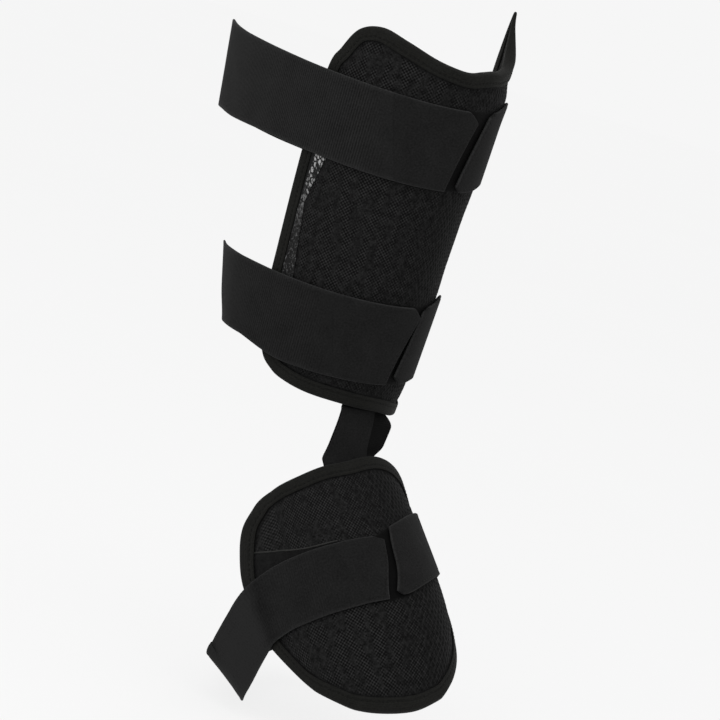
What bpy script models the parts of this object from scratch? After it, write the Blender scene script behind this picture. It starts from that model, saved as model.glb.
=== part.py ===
"""A batter's leg guard: a padded shin shell and a padded foot shell, each bound with tape, joined by a
link strap at the ankle and held on by three elastic loops that close on the front with cloth tabs.

It is modelled in the form that it has on a leg. +Z runs up the leg, -Y is the front of the shin and -X is
the side that faces the pitcher, where both shells reach furthest round. The origin is on the inner face of
the shin shell, at the middle of its front, where the shin sits.

Every piece is drawn on one of two surfaces. A place on them is given by three lengths: how far round it is
from the front centre, + towards -X, how far along it is, and how far it rises out of the surface."""

import math

import bmesh
import bpy
import numpy as np

MM = 0.001

# The leg inside the shin shell's outer surface
LEG_HALF_WIDTH = 66.3 * MM
LEG_FRONT_DEPTH = 80 * MM
CALF_BACK_DEPTH = 130 * MM
ANKLE_BACK_DEPTH = 73 * MM
CALF_BACK_LEAN = 0.12
ANKLE_BACK_LEAN = 0.42
FLARE_AT_TOP = 0.050
TAPER_AT_HEM = 0.070

# The shin shell
SHIN_HEIGHT = 238 * MM
SHIN_NEAR_WRAP = 112.5 * MM
SHIN_FAR_WRAP = 68.5 * MM
SHIN_PADDING = 10 * MM

# The foot inside the foot shell's outer surface
FOOT_HALF_WIDTH = 61 * MM
INSTEP_RISE = 62 * MM
ANKLE_RISE = 49 * MM
ANKLE_HALF_WIDTH = 58 * MM
ANKLE_DROP = 60 * MM
ANKLE_SETBACK = 33.4 * MM
FOOT_SLOPE = math.radians(39)
SOLE_SLOPE = math.radians(25)
FOOT_ROLL = math.radians(10)
FOOT_WALL = 60 * MM
SOLE_ROUNDING = 34 * MM

# How the foot's section changes towards the toes: where, as shares of the shell's length, and how much, as
# shares of the section's own sizes
FILLING_FROM = 0.02
FILLING_TO = 0.68
SOLE_MEETS_WALL_AT = 0.65
TOES_FROM = 0.63
TOES_NARROW_BY = 0.45
TOES_FALL_BY = 0.75

# The foot shell
FOOT_LENGTH = 173 * MM
FOOT_NEAR_WRAP = 124 * MM
FOOT_FAR_WRAP = 64 * MM
FOOT_PADDING = 9 * MM

# Edges and trim
EDGE_PADDING = 5 * MM
EDGE_DIP = 1.8 * MM
EDGE_ROUNDING = 0.5 * MM
TAPE_WIDTH = 8 * MM
TAPE_THICKNESS = 1.2 * MM
PANEL_THICKNESS = 0.6 * MM
PANEL_HEAD = 60 * MM
PANEL_WAIST = 2 * MM
PANEL_FOOT = -70 * MM
PANEL_WAIST_WIDTH = 3 * MM
PANEL_END_WIDTH = 14 * MM
FIT_GAP = 0.3 * MM
SEAT_GAP = 0.5 * MM

# Straps and tabs
STRAP_WIDTH = 55 * MM
STRAP_THICKNESS = 1.6 * MM
FOOT_STRAP_WIDTH = 44 * MM
TAB_THICKNESS = 2.2 * MM
TAB_LENGTH = 50 * MM
FAR_TAB_LENGTH = 32 * MM
TAB_CORNER = 6 * MM
CORNER_DEPTH = 0.6
TAB_PARTING = 6 * MM
UPPER_STRAP_HEIGHT = 62 * MM
LOWER_STRAP_HEIGHT = -75 * MM
TAB_SLANT = 0.22
JOIN_SLANT = 0.28
FOOT_PARTING_AROUND = 19 * MM
FOOT_TAB_LENGTH = 28 * MM
LINK_WIDTH = 57 * MM
LINK_NEAR_EDGE = 26 * MM
LINK_TAB_WIDTH = 34 * MM
LINK_TAB_THICKNESS = 1.2 * MM
LINK_TUCK = 30 * MM
LINK_SHIFT = 11 * MM
LINK_TURN = 0.18

# How finely the curves are cut into flat faces
OUTLINE_POINTS = 80
LOOP_STATIONS = 64
TAB_STATIONS = 11
LINK_STATIONS = 9
LINK_TAB_COLUMNS = 5

# Where pieces stand, worked out from the sizes above
LEG_AXIS_Y = LEG_FRONT_DEPTH - SHIN_PADDING
SHIN_HALF_HEIGHT = SHIN_HEIGHT / 2
FOOT_ALONG = np.array([0.0, -math.sin(FOOT_SLOPE), -math.cos(FOOT_SLOPE)])
FOOT_OUT = np.array([0.0, -math.cos(FOOT_SLOPE), math.sin(FOOT_SLOPE)])
FOOT_ORIGIN = np.array([0.0, LEG_AXIS_Y - LEG_FRONT_DEPTH + ANKLE_SETBACK, -SHIN_HALF_HEIGHT - ANKLE_DROP])
PANEL_TOP = FIT_GAP + PANEL_THICKNESS
SHIN_STRAP_RISE = PANEL_TOP + SEAT_GAP
FOOT_STRAP_RISE = SEAT_GAP + FIT_GAP

# Outlines, as shares. Round: 1 is the near wrap and -1 the far wrap. Up: 1 is half the height at the front.
SHIN_OUTLINE = [
    # round, up
    (0.13, 0.96),
    (0.36, 0.98),
    (0.55, 1.022),
    (0.71, 1.05),
    (0.84, 1.005),
    (0.92, 0.885),
    (0.975, 0.76),
    (1.00, 0.34),
    (0.99, -0.25),
    (0.972, -0.65),
    (0.895, -0.85),
    (0.80, -0.926),
    (0.70, -0.96),
    (0.53, -0.985),
    (0.27, -0.994),
    (-0.05, -1.005),
    (-0.50, -1.035),
    (-0.82, -1.025),
    (-0.97, -0.94),
    (-1.00, -0.78),
    (-1.00, -0.10),
    (-1.00, 0.60),
    (-1.00, 1.12),
    (-0.99, 1.27),
    (-0.955, 1.35),
    (-0.885, 1.26),
    (-0.72, 1.13),
    (-0.49, 1.05),
    (-0.24, 1.00),
]

# Outline of the foot shell, as shares. Round: as above. Along: 1 is the shell's length towards the toes.
FOOT_OUTLINE = [
    # round, along
    (0.00, 0.000),
    (0.23, 0.020),
    (0.38, 0.026),
    (0.555, 0.043),
    (0.73, 0.057),
    (0.82, 0.072),
    (0.87, 0.104),
    (0.92, 0.153),
    (0.96, 0.23),
    (1.00, 0.36),
    (1.00, 0.51),
    (0.985, 0.63),
    (0.84, 0.785),
    (0.62, 0.91),
    (0.51, 0.957),
    (0.36, 0.986),
    (0.21, 0.997),
    (0.08, 0.975),
    (-0.10, 0.93),
    (-0.345, 0.86),
    (-0.64, 0.75),
    (-0.88, 0.59),
    (-1.00, 0.43),
    (-1.00, 0.27),
    (-0.90, 0.15),
    (-0.68, 0.075),
    (-0.34, 0.02),
]

# How a shell's padding fills from the tape inward. Inward: 1 is the shell's middle. Full: 1 is all of it.
PADDING_FILLS = [
    # inward, full
    (0.12, 0.85),
    (0.35, 1.0),
    (0.65, 1.0),
]

# Heights of the two leg loops. Round: 1 is the back of the leg, going by the near side. Up: a share of the
# strap's width, from the loop's height at the front.
UPPER_LOOP = [
    # round, up
    (-1.00, 0.08),
    (-0.85, -0.12),
    (-0.65, -0.24),
    (-0.45, -0.18),
    (-0.28, 0.06),
    (-0.15, 0.15),
    (-0.05, 0.06),
    (0.05, 0.00),
    (0.40, 0.00),
    (0.55, 0.04),
    (0.70, 0.09),
    (0.85, 0.16),
    (1.00, 0.08),
]
LOWER_LOOP = [
    # round, up
    (-1.00, -0.12),
    (-0.85, -0.29),
    (-0.65, -0.38),
    (-0.45, -0.26),
    (-0.28, 0.00),
    (-0.12, 0.09),
    (-0.05, 0.06),
    (0.05, 0.03),
    (0.25, -0.01),
    (0.45, 0.00),
    (0.60, 0.03),
    (0.72, 0.05),
    (0.88, -0.01),
    (1.00, -0.12),
]

# The foot loop. Round: 1 is the middle of the sole, going by the near side. Along: a share of FOOT_LENGTH.
FOOT_LOOP = [
    # round, along
    (-1.00, 0.46),
    (-0.84, 0.37),
    (-0.66, 0.34),
    (-0.45, 0.34),
    (-0.30, 0.35),
    (-0.20, 0.35),
    (-0.105, 0.37),
    (0.03, 0.425),
    (0.09, 0.455),
    (0.20, 0.463),
    (0.35, 0.471),
    (0.46, 0.483),
    (0.56, 0.545),
    (0.66, 0.645),
    (0.74, 0.68),
    (0.83, 0.62),
    (0.91, 0.54),
    (1.00, 0.46),
]


def smooth_step(low, high, value):
    """0 below `low`, 1 above `high`, and an even S between them."""
    share = np.clip((np.asarray(value, float) - low) / (high - low), 0, 1)
    return share * share * (3 - 2 * share)


def smooth_loop(rows, count):
    """`count` points, evenly spaced along a closed Catmull-Rom curve through the rows."""
    rows = np.asarray(rows, float)
    share = np.linspace(0, 1, 12, endpoint=False)[:, None]
    before, here, after, beyond = (np.roll(rows, turn, axis=0) for turn in (1, 0, -1, -2))
    runs = []
    for a, b, c, d in zip(before, here, after, beyond):
        cubic = 2 * b + (c - a) * share + (2 * a - 5 * b + 4 * c - d) * share**2
        runs.append((cubic + (3 * b - a - 3 * c + d) * share**3) / 2)
    dense = np.concatenate(runs + [rows[:1]])
    run = np.concatenate([[0], np.cumsum(np.linalg.norm(np.diff(dense, axis=0), axis=1))])
    at = np.linspace(0, run[-1], count, endpoint=False)
    return np.column_stack([np.interp(at, run, column) for column in dense.T])


def smooth_table(rows, at):
    """The table's second column where its first is `at`, by a cubic through the rows."""
    place, value = np.asarray(rows, float).T
    slope = np.gradient(value, place)
    at = np.clip(at, place[0], place[-1])
    row = np.clip(np.searchsorted(place, at, side="right") - 1, 0, len(place) - 2)
    width = place[row + 1] - place[row]
    t = (at - place[row]) / width
    start = (1 + 2 * t) * (1 - t) ** 2 * value[row] + t * (1 - t) ** 2 * width * slope[row]
    end = t * t * (3 - 2 * t) * value[row + 1] + t * t * (t - 1) * width * slope[row + 1]
    return start + end


def quarter_ellipse(across, deep):
    """The angles of a quarter ellipse, from its pole to its side, and the arc length at each."""
    angle = np.linspace(0, math.pi / 2, 181)
    run = np.hypot(np.diff(across * np.sin(angle)), np.diff(deep * np.cos(angle)))
    return angle, np.concatenate([[0], np.cumsum(run)])


def half_girth(back_depth):
    """Half the way round the leg: the front quarter and the back quarter."""
    front = quarter_ellipse(LEG_HALF_WIDTH, LEG_FRONT_DEPTH)[1][-1]
    return front + quarter_ellipse(LEG_HALF_WIDTH, back_depth)[1][-1]


def leg_scale(up):
    """The leg's width at a height, against its width at the origin: wider above, narrower to the hem."""
    share = up / SHIN_HALF_HEIGHT
    return 1 + (FLARE_AT_TOP + TAPER_AT_HEM) / 2 * share + (FLARE_AT_TOP - TAPER_AT_HEM) / 2 * share**2


def leg_point(around, up, rise=0.0, back_depth=CALF_BACK_DEPTH, back_gain=0.0):
    """Points on the leg, whose section is half an ellipse in front and half another behind. `back_gain` is
    what the half behind is deeper there than the leg that the arc is measured round."""
    around, up, rise, back_gain = np.broadcast_arrays(
        *(np.asarray(v, float) for v in (around, up, rise, back_gain))
    )
    front_angle, front_run = quarter_ellipse(LEG_HALF_WIDTH, LEG_FRONT_DEPTH)
    back_angle, back_run = quarter_ellipse(LEG_HALF_WIDTH, back_depth)
    arc = np.abs(around)
    in_front = arc <= front_run[-1]
    from_back = front_run[-1] + back_run[-1] - arc
    angle = np.where(
        in_front, np.interp(arc, front_run, front_angle), np.interp(from_back, back_run, back_angle)
    )
    depth = np.where(in_front, -LEG_FRONT_DEPTH, back_depth + back_gain)
    side = -np.sign(around)
    out_x = side * np.sin(angle) / LEG_HALF_WIDTH
    out_y = np.cos(angle) / depth
    length = np.hypot(out_x, out_y)
    scale = leg_scale(up)
    x = side * LEG_HALF_WIDTH * np.sin(angle) * scale + rise * out_x / length
    y = LEG_AXIS_Y + depth * np.cos(angle) * scale + rise * out_y / length
    return np.stack([x, y, up], axis=-1)


def foot_runs():
    """The arc lengths of the foot's top quarter, its side wall and its bottom quarter."""
    top = quarter_ellipse(FOOT_HALF_WIDTH, INSTEP_RISE)[1][-1]
    return top, FOOT_WALL, quarter_ellipse(FOOT_HALF_WIDTH, SOLE_ROUNDING)[1][-1]


def foot_frame(around, along, rise=0.0):
    """Points on the foot, and the directions that its surface faces there.

    Its section is half an ellipse over the instep, two walls, and half a flat ellipse under the sole. The
    sole rises towards the toes and towards the far side, as the foot is turned out a little. The section is
    smaller at the ankle."""
    around, along, rise = np.broadcast_arrays(*(np.asarray(v, float) for v in (around, along, rise)))
    top, wall, _ = foot_runs()
    top_angle, top_run = quarter_ellipse(FOOT_HALF_WIDTH, INSTEP_RISE)
    low_angle, low_run = quarter_ellipse(FOOT_HALF_WIDTH, SOLE_ROUNDING)
    fullness = smooth_step(FILLING_FROM, FILLING_TO, along / FOOT_LENGTH)
    toes = np.clip(along / FOOT_LENGTH - TOES_FROM, 0, None) ** 2
    half_width = ANKLE_HALF_WIDTH + (FOOT_HALF_WIDTH - ANKLE_HALF_WIDTH) * fullness
    half_width = half_width - TOES_NARROW_BY * FOOT_HALF_WIDTH * toes
    height = ANKLE_RISE + (INSTEP_RISE - ANKLE_RISE) * fullness - TOES_FALL_BY * INSTEP_RISE * toes
    arc = np.abs(around)
    side = -np.sign(around)
    over = np.interp(arc, top_run, top_angle)
    under = np.interp(low_run[-1] - (arc - top - wall), low_run, low_angle)
    below = arc > top + wall
    wall_depth = np.clip(arc - top, 0, wall)
    depth_share = wall_depth / wall
    sole_shift = math.tan(SOLE_SLOPE) * (SOLE_MEETS_WALL_AT * FOOT_LENGTH - along) * depth_share
    angle = np.where(below, under, over)
    far_share = (1 + side * np.sin(angle)) / 2
    roll_shift = 2 * FOOT_HALF_WIDTH * math.tan(FOOT_ROLL) * far_share * depth_share
    out = np.where(below, -SOLE_ROUNDING, height) * np.cos(angle) - wall_depth - sole_shift + roll_shift
    x = side * np.sin(angle) * half_width
    lean = math.tan(SOLE_SLOPE) * depth_share
    face_x = side * np.sin(angle) / half_width
    face_out = np.where(below, -np.cos(angle) / SOLE_ROUNDING, np.cos(angle) / height)
    face_along = np.where(below, -face_out * lean, 0)
    length = np.sqrt(face_x**2 + face_out**2 + face_along**2)
    faces = np.stack([face_x / length, face_out / length, face_along / length], axis=-1)
    axes = np.array([[1.0, 0.0, 0.0], FOOT_OUT, FOOT_ALONG])
    normals = faces @ axes
    points = FOOT_ORIGIN + np.stack([x, out, along], axis=-1) @ axes + rise[..., None] * normals
    return points, normals


def foot_point(around, along, rise=0.0):
    """Points on the foot's surface, raised from it."""
    return foot_frame(around, along, rise)[0]


def cloth(name, colour, roughness, sheen=0.0):
    """A cloth material: its colour, how rough it is, and how much of a soft edge light it has."""
    material = bpy.data.materials.new(name)
    material.use_nodes = True
    shader = material.node_tree.nodes["Principled BSDF"]
    shader.inputs["Base Color"].default_value = (*colour, 1)
    shader.inputs["Roughness"].default_value = roughness
    shader.inputs["Metallic"].default_value = 0
    shader.inputs["Sheen Weight"].default_value = sheen
    return material


def add_mesh(name, points, faces, material, is_closed=True):
    """An object made of these points and faces. The faces of a closed one are turned outward, and those of
    an open sheet face the way that they are listed."""
    mesh = bpy.data.meshes.new(name)
    mesh.from_pydata([tuple(point) for point in points], [], faces)
    if is_closed:
        shape = bmesh.new()
        shape.from_mesh(mesh)
        bmesh.ops.recalc_face_normals(shape, faces=shape.faces)
        shape.to_mesh(mesh)
        shape.free()
    mesh.shade_smooth()
    mesh.set_sharp_from_angle(angle=math.radians(40))
    mesh.materials.append(material)
    piece = bpy.data.objects.new(name, mesh)
    bpy.context.scene.collection.objects.link(piece)
    return piece


def quads(rows, columns, wrap_rows=False, wrap_columns=False):
    """The four-sided faces between neighbours in a grid of numbered points."""
    faces = []
    for row in range(rows if wrap_rows else rows - 1):
        for column in range(columns if wrap_columns else columns - 1):
            right = (column + 1) % columns
            below = (row + 1) % rows
            corners = ((row, column), (row, right), (below, right), (below, column))
            faces.append([r * columns + c for r, c in corners])
    return faces


def inset(loop, distance):
    """The loop moved inward by a distance, along the normals of its own plane."""
    if distance == 0:
        return loop
    tangent = np.roll(loop, -1, axis=0) - np.roll(loop, 1, axis=0)
    tangent /= np.linalg.norm(tangent, axis=1)[:, None]
    inward = np.column_stack([-tangent[:, 1], tangent[:, 0]])
    area = np.sum(loop[:, 0] * np.roll(loop[:, 1], -1) - np.roll(loop[:, 0], -1) * loop[:, 1])
    return loop + inward * distance * np.sign(area)


def padded_shell(name, loop, surface, padding, material):
    """A padded shell inside an outline: thin at its edge, where the tape goes, and full inside it."""
    centre = loop.mean(axis=0)
    under_tape = inset(loop, TAPE_WIDTH + SEAT_GAP)
    thin_back = -EDGE_DIP - EDGE_PADDING
    profile = [
        # flat loop, rise of the outer face, rise of the inner face
        (loop, -EDGE_DIP - EDGE_ROUNDING, thin_back + EDGE_ROUNDING),
        (inset(loop, 3 * EDGE_ROUNDING), -EDGE_DIP, thin_back),
        (under_tape, -EDGE_DIP, thin_back),
    ]
    for share, fullness in PADDING_FILLS:
        ring = under_tape + (centre - under_tape) * share
        profile.append((ring, -EDGE_DIP * (1 - fullness), thin_back + (-padding - thin_back) * fullness))
    rings = [surface(*flat.T, outer) for flat, outer, _ in reversed(profile)]
    rings += [surface(*flat.T, inner) for flat, _, inner in profile]
    count = len(loop)
    points = np.concatenate(rings + [[surface(*centre, 0.0), surface(*centre, -padding)]])
    faces = quads(len(rings), count, wrap_columns=True)
    front, back = len(points) - 2, len(points) - 1
    last = (len(rings) - 1) * count
    for here in range(count):
        after = (here + 1) % count
        faces.append([front, after, here])
        faces.append([back, last + here, last + after])
    return add_mesh(name, points, faces, material)


def edge_tape(name, loop, surface, material):
    """Binding tape folded over a shell's edge, a fit gap clear of it all round."""
    near_face = -EDGE_DIP + FIT_GAP
    far_face = -EDGE_DIP - EDGE_PADDING - FIT_GAP
    section = [
        # inset, rise
        (TAPE_WIDTH, near_face),
        (TAPE_WIDTH, near_face + TAPE_THICKNESS),
        (TAPE_THICKNESS, near_face + TAPE_THICKNESS),
        (-FIT_GAP - TAPE_THICKNESS * 2 / 3, near_face),
        (-FIT_GAP - TAPE_THICKNESS, (near_face + far_face) / 2),
        (-FIT_GAP - TAPE_THICKNESS * 2 / 3, far_face),
        (TAPE_THICKNESS, far_face - TAPE_THICKNESS),
        (TAPE_WIDTH, far_face - TAPE_THICKNESS),
        (TAPE_WIDTH, far_face),
        (-FIT_GAP, far_face),
        (-FIT_GAP, near_face),
    ]
    rings = [surface(*inset(loop, distance).T, rise) for distance, rise in section]
    faces = quads(len(rings), len(loop), wrap_rows=True, wrap_columns=True)
    return add_mesh(name, np.concatenate(rings), faces, material)


def cloth_sheet(name, grid, thickness, material):
    """A sheet through a grid of points (stations, places across), thickened by a Solidify modifier to the
    side that the grid's stations and places, taken in that order, face."""
    stations, across, _ = grid.shape
    piece = add_mesh(name, grid.reshape(-1, 3), quads(stations, across), material, is_closed=False)
    solid = piece.modifiers.new("Thickness", "SOLIDIFY")
    solid.thickness = thickness
    solid.offset = 1
    solid.use_even_offset = False
    solid.use_rim = True
    return piece


def strap_grid(place, start, end, width, slants, stations, places, corners=(0.0, 0.0)):
    """A strap's grid of points from one place round a loop to another. `slants` tilt its two ends, each
    fading out within one strap width, and `corners` cut the upper corner of each end."""
    across_shares = np.linspace(-0.5, 0.5, places)
    around = np.linspace(start, end, stations)
    for corner, foot in ((corners[0], start + corners[0]), (corners[1], end - corners[1])):
        if corner:
            around[np.argmin(np.abs(around - foot))] = foot
    cut = np.maximum(corners[0] - (around - start), corners[1] - (end - around)).clip(0)
    across = across_shares * width - (across_shares + 0.5) * CORNER_DEPTH * cut[:, None]
    fade = min(width, end - start)
    slant = slants[0] * (1 - smooth_step(start, start + fade, around))
    slant = slant + slants[1] * smooth_step(end - fade, end, around)
    return place(around[:, None] + slant[:, None] * across, across)


def leg_place(loop, height, back_depth, back_lean, rise):
    """How a leg loop's own measures, round it and across it, become points. Its back leans with the calf."""
    half = half_girth(back_depth)

    def place(around, across):
        around = wrapped(around, half)
        middle = height + STRAP_WIDTH * smooth_table(loop, around / half)
        return leg_point(around, middle + across, rise, back_depth, back_lean * across)

    return place


def foot_place(rise):
    """How the foot loop's own measures become points: across it is square to its own run, and follows the
    foot's surface."""
    half = sum(foot_runs())
    step = FOOT_LENGTH / 200

    def along_at(around):
        return FOOT_LENGTH * smooth_table(FOOT_LOOP, wrapped(around, half) / half)

    def place(around, across):
        around = np.broadcast_to(around, np.broadcast_shapes(np.shape(around), np.shape(across)))
        here = wrapped(around, half)
        along = along_at(around)
        _, normal = foot_frame(here, along)
        per_around = (foot_point(here + step, along) - foot_point(here - step, along)) / (2 * step)
        per_along = (foot_point(here, along + step) - foot_point(here, along - step)) / (2 * step)
        slope = (along_at(around + step) - along_at(around - step)) / (2 * step)
        width = np.cross(per_around + slope[..., None] * per_along, normal)
        width /= np.linalg.norm(width, axis=-1)[..., None]
        aa, ab, bb = ((u * v).sum(axis=-1) for u, v in (
            (per_around, per_around), (per_around, per_along), (per_along, per_along)))
        wa, wb = (width * per_around).sum(axis=-1), (width * per_along).sum(axis=-1)
        size = aa * bb - ab * ab
        turn, climb = (wa * bb - wb * ab) / size, (wb * aa - wa * ab) / size
        return foot_point(wrapped(here + across * turn, half), along + across * climb, rise)

    return place


def wrapped(around, half):
    """A place round a loop, brought back to between minus and plus half its girth."""
    return (around + half) % (2 * half) - half


def add_loop(name, place, half, width, parting_at, tab_length, cloths, places=3):
    """An elastic loop and the two cloth tabs that it ends in, on either side of a parting on the front."""
    near_end = parting_at + TAB_PARTING / 2
    near_start = near_end + tab_length
    far_start = 2 * half + parting_at - TAB_PARTING / 2
    far_end = far_start - FAR_TAB_LENGTH
    elastic, tab_cloth = cloths
    band = strap_grid(
        place, near_start + FIT_GAP, far_end - FIT_GAP, width, (JOIN_SLANT, 0), LOOP_STATIONS, places
    )
    cloth_sheet(name + "_band", band, STRAP_THICKNESS, elastic)
    near = strap_grid(
        place, near_end, near_start, width, (-TAB_SLANT, JOIN_SLANT), TAB_STATIONS, places, (TAB_CORNER, 0)
    )
    cloth_sheet(name + "_near_tab", near, TAB_THICKNESS, tab_cloth)
    far = strap_grid(place, far_end, far_start, width, (0, -TAB_SLANT), TAB_STATIONS, places)
    cloth_sheet(name + "_far_tab", far, TAB_THICKNESS, tab_cloth)


def link_grid():
    """The ankle link: it lies inside the shin shell, passes flat across the gap below the hem, and goes in
    behind the foot shell's upper edge, where the link's tab has room in front of it. The last columns are
    the tab's."""
    tab_edge = LINK_NEAR_EDGE - LINK_TAB_WIDTH
    far_edge = LINK_NEAR_EDGE - LINK_WIDTH
    beside_tab = np.linspace(far_edge, tab_edge, 4)[:-1]
    around = np.concatenate([beside_tab, np.linspace(tab_edge, LINK_NEAR_EDGE, LINK_TAB_COLUMNS)])
    middle = (far_edge + LINK_NEAR_EDGE) / 2
    edge_back = -EDGE_DIP - EDGE_PADDING - FIT_GAP - TAPE_THICKNESS
    shin_rise = -SHIN_PADDING - SEAT_GAP - STRAP_THICKNESS
    hem_rise = edge_back - SEAT_GAP - STRAP_THICKNESS
    foot_rise = -FOOT_PADDING - SEAT_GAP - LINK_TAB_THICKNESS - SEAT_GAP - STRAP_THICKNESS
    hem = -SHIN_HALF_HEIGHT - TAPE_WIDTH / 2
    entry = -TAPE_WIDTH / 2
    tucked = np.linspace(1, 0, LINK_STATIONS // 2, endpoint=False)
    rows = [leg_point(around, hem + t * LINK_TUCK, hem_rise + t * (shin_rise - hem_rise)) for t in tucked]

    def across_gap(at, t):
        top, bottom = leg_point(at, hem, hem_rise), foot_point(at + LINK_SHIFT, entry, foot_rise)
        reach = np.linalg.norm(bottom - top, axis=-1)[..., None] * FOOT_ALONG
        start = (1 + 2 * t) * (1 - t) ** 2 * top + t * (1 - t) ** 2 * reach
        return start + t * t * (3 - 2 * t) * bottom + t * t * (t - 1) * reach

    for t in np.linspace(0, 1, LINK_STATIONS):
        row = across_gap(around, t)
        flatness = float(smooth_step(0.08, 0.42, min(t, 1 - t)))
        flat = across_gap(np.array([middle]), t)[:, 1] + LINK_TURN * (around - middle)
        row[:, 1] += (flat - row[:, 1]) * flatness
        rows.append(row)
    for t in np.linspace(0, 1, LINK_STATIONS // 2)[1:]:
        rows.append(foot_point(around + LINK_SHIFT, entry + t * LINK_TUCK, foot_rise))
    return np.array(rows)


def raised(grid, distance):
    """The grid moved along its own normals, towards the side that its faces face."""
    normal = np.cross(np.gradient(grid, axis=1), np.gradient(grid, axis=0))
    return grid + distance * normal / np.linalg.norm(normal, axis=-1)[..., None]


def panel_grid():
    """The printed panel beside the near edge's tape, narrowest between the two straps."""
    up = np.linspace(PANEL_FOOT, PANEL_HEAD, 12)
    outline = smooth_loop(SHIN_OUTLINE, 400) * (SHIN_NEAR_WRAP, SHIN_HALF_HEIGHT)
    near = outline[outline[:, 0] > SHIN_NEAR_WRAP / 2]
    order = np.argsort(near[:, 1])
    edge = np.interp(up, near[order, 1], near[order, 0]) - TAPE_WIDTH - FIT_GAP
    share = (up - PANEL_WAIST) / np.where(up > PANEL_WAIST, PANEL_HEAD - PANEL_WAIST, PANEL_WAIST - PANEL_FOOT)
    width = PANEL_WAIST_WIDTH + (PANEL_END_WIDTH - PANEL_WAIST_WIDTH) * np.abs(share)
    around = np.array([edge - width, edge - width / 2, edge])
    return leg_point(around, up, FIT_GAP)


def outline_of(rows, near_wrap, far_wrap, length):
    """An outline's closed curve in real lengths, from its table of shares."""
    loop = smooth_loop(rows, OUTLINE_POINTS)
    return loop * np.column_stack([np.where(loop[:, 0] > 0, near_wrap, far_wrap), np.full(len(loop), length)])


def build():
    """Clears the scene and makes every piece of the leg guard."""
    for old in list(bpy.data.objects):
        bpy.data.objects.remove(old, do_unlink=True)
    mesh_cloth = cloth("spacer_mesh", (0.006, 0.006, 0.006), 0.75, 0.1)
    tape_cloth = cloth("binding_tape", (0.012, 0.011, 0.010), 0.6)
    elastic = cloth("elastic_webbing", (0.013, 0.013, 0.013), 0.7, 0.1)
    tab_cloth = cloth("tab_cloth", (0.018, 0.017, 0.018), 0.6, 0.1)
    print_cloth = cloth("printed_panel", (0.05, 0.05, 0.05), 0.5)

    shin_loop = outline_of(SHIN_OUTLINE, SHIN_NEAR_WRAP, SHIN_FAR_WRAP, SHIN_HALF_HEIGHT)
    padded_shell("shin_shell", shin_loop, leg_point, SHIN_PADDING, mesh_cloth)
    edge_tape("shin_edge_tape", shin_loop, leg_point, tape_cloth)
    cloth_sheet("side_panel", panel_grid(), PANEL_THICKNESS, print_cloth)

    foot_loop = outline_of(FOOT_OUTLINE, FOOT_NEAR_WRAP, FOOT_FAR_WRAP, FOOT_LENGTH)
    padded_shell("foot_shell", foot_loop, foot_point, FOOT_PADDING, mesh_cloth)
    edge_tape("foot_edge_tape", foot_loop, foot_point, tape_cloth)

    link = link_grid()
    cloth_sheet("ankle_link_strap", link, STRAP_THICKNESS, elastic)
    tab = raised(link, STRAP_THICKNESS + SEAT_GAP)[LINK_STATIONS // 2 :, -LINK_TAB_COLUMNS:]
    cloth_sheet("ankle_link_tab", tab, LINK_TAB_THICKNESS, tab_cloth)

    leg_loops = (
        # name, table, height, depth behind the leg's axis, lean of the back
        ("upper_strap", UPPER_LOOP, UPPER_STRAP_HEIGHT, CALF_BACK_DEPTH, CALF_BACK_LEAN),
        ("lower_strap", LOWER_LOOP, LOWER_STRAP_HEIGHT, ANKLE_BACK_DEPTH, ANKLE_BACK_LEAN),
    )
    for name, table, height, back_depth, back_lean in leg_loops:
        place = leg_place(table, height, back_depth, back_lean, SHIN_STRAP_RISE)
        add_loop(name, place, half_girth(back_depth), STRAP_WIDTH, 0, TAB_LENGTH, (elastic, tab_cloth))
    add_loop(
        "foot_strap",
        foot_place(FOOT_STRAP_RISE),
        sum(foot_runs()),
        FOOT_STRAP_WIDTH,
        FOOT_PARTING_AROUND,
        FOOT_TAB_LENGTH,
        (elastic, tab_cloth),
        places=5,
    )


build()
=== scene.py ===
# %% [markdown]
# # A batter's leg guard, dressed in cloth
#
# This file is a lesson in cells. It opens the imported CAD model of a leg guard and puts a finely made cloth
# piece in the place of each plain solid: two padded mesh shells with their binding tapes, a printed strip,
# the link between the shells, and three elastic loops that end in cloth tabs. Every length is in metres.

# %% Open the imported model
import math

import bmesh
import bpy
import numpy as np
from mathutils import Matrix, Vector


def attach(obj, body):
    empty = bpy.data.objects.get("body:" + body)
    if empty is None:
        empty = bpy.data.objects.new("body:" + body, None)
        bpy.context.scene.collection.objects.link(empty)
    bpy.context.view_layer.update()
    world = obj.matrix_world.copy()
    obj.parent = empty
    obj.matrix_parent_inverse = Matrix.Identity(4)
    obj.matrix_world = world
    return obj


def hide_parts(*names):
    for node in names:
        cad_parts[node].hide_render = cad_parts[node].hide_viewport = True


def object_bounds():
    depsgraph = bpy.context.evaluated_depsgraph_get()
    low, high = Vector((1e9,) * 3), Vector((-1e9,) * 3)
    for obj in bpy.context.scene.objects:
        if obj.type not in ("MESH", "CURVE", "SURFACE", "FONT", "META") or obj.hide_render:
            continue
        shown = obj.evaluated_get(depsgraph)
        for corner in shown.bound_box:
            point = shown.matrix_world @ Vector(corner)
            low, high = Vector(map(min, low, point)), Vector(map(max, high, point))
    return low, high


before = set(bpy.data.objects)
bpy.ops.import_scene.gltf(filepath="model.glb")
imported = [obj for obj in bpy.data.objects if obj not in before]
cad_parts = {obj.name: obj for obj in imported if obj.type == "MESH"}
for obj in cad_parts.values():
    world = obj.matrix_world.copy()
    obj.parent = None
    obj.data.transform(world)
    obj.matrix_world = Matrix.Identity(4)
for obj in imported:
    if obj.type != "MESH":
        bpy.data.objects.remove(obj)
cad_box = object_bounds()
print(len(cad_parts), "CAD nodes, in a box from", cad_box[0][:], "to", cad_box[1][:])

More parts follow.
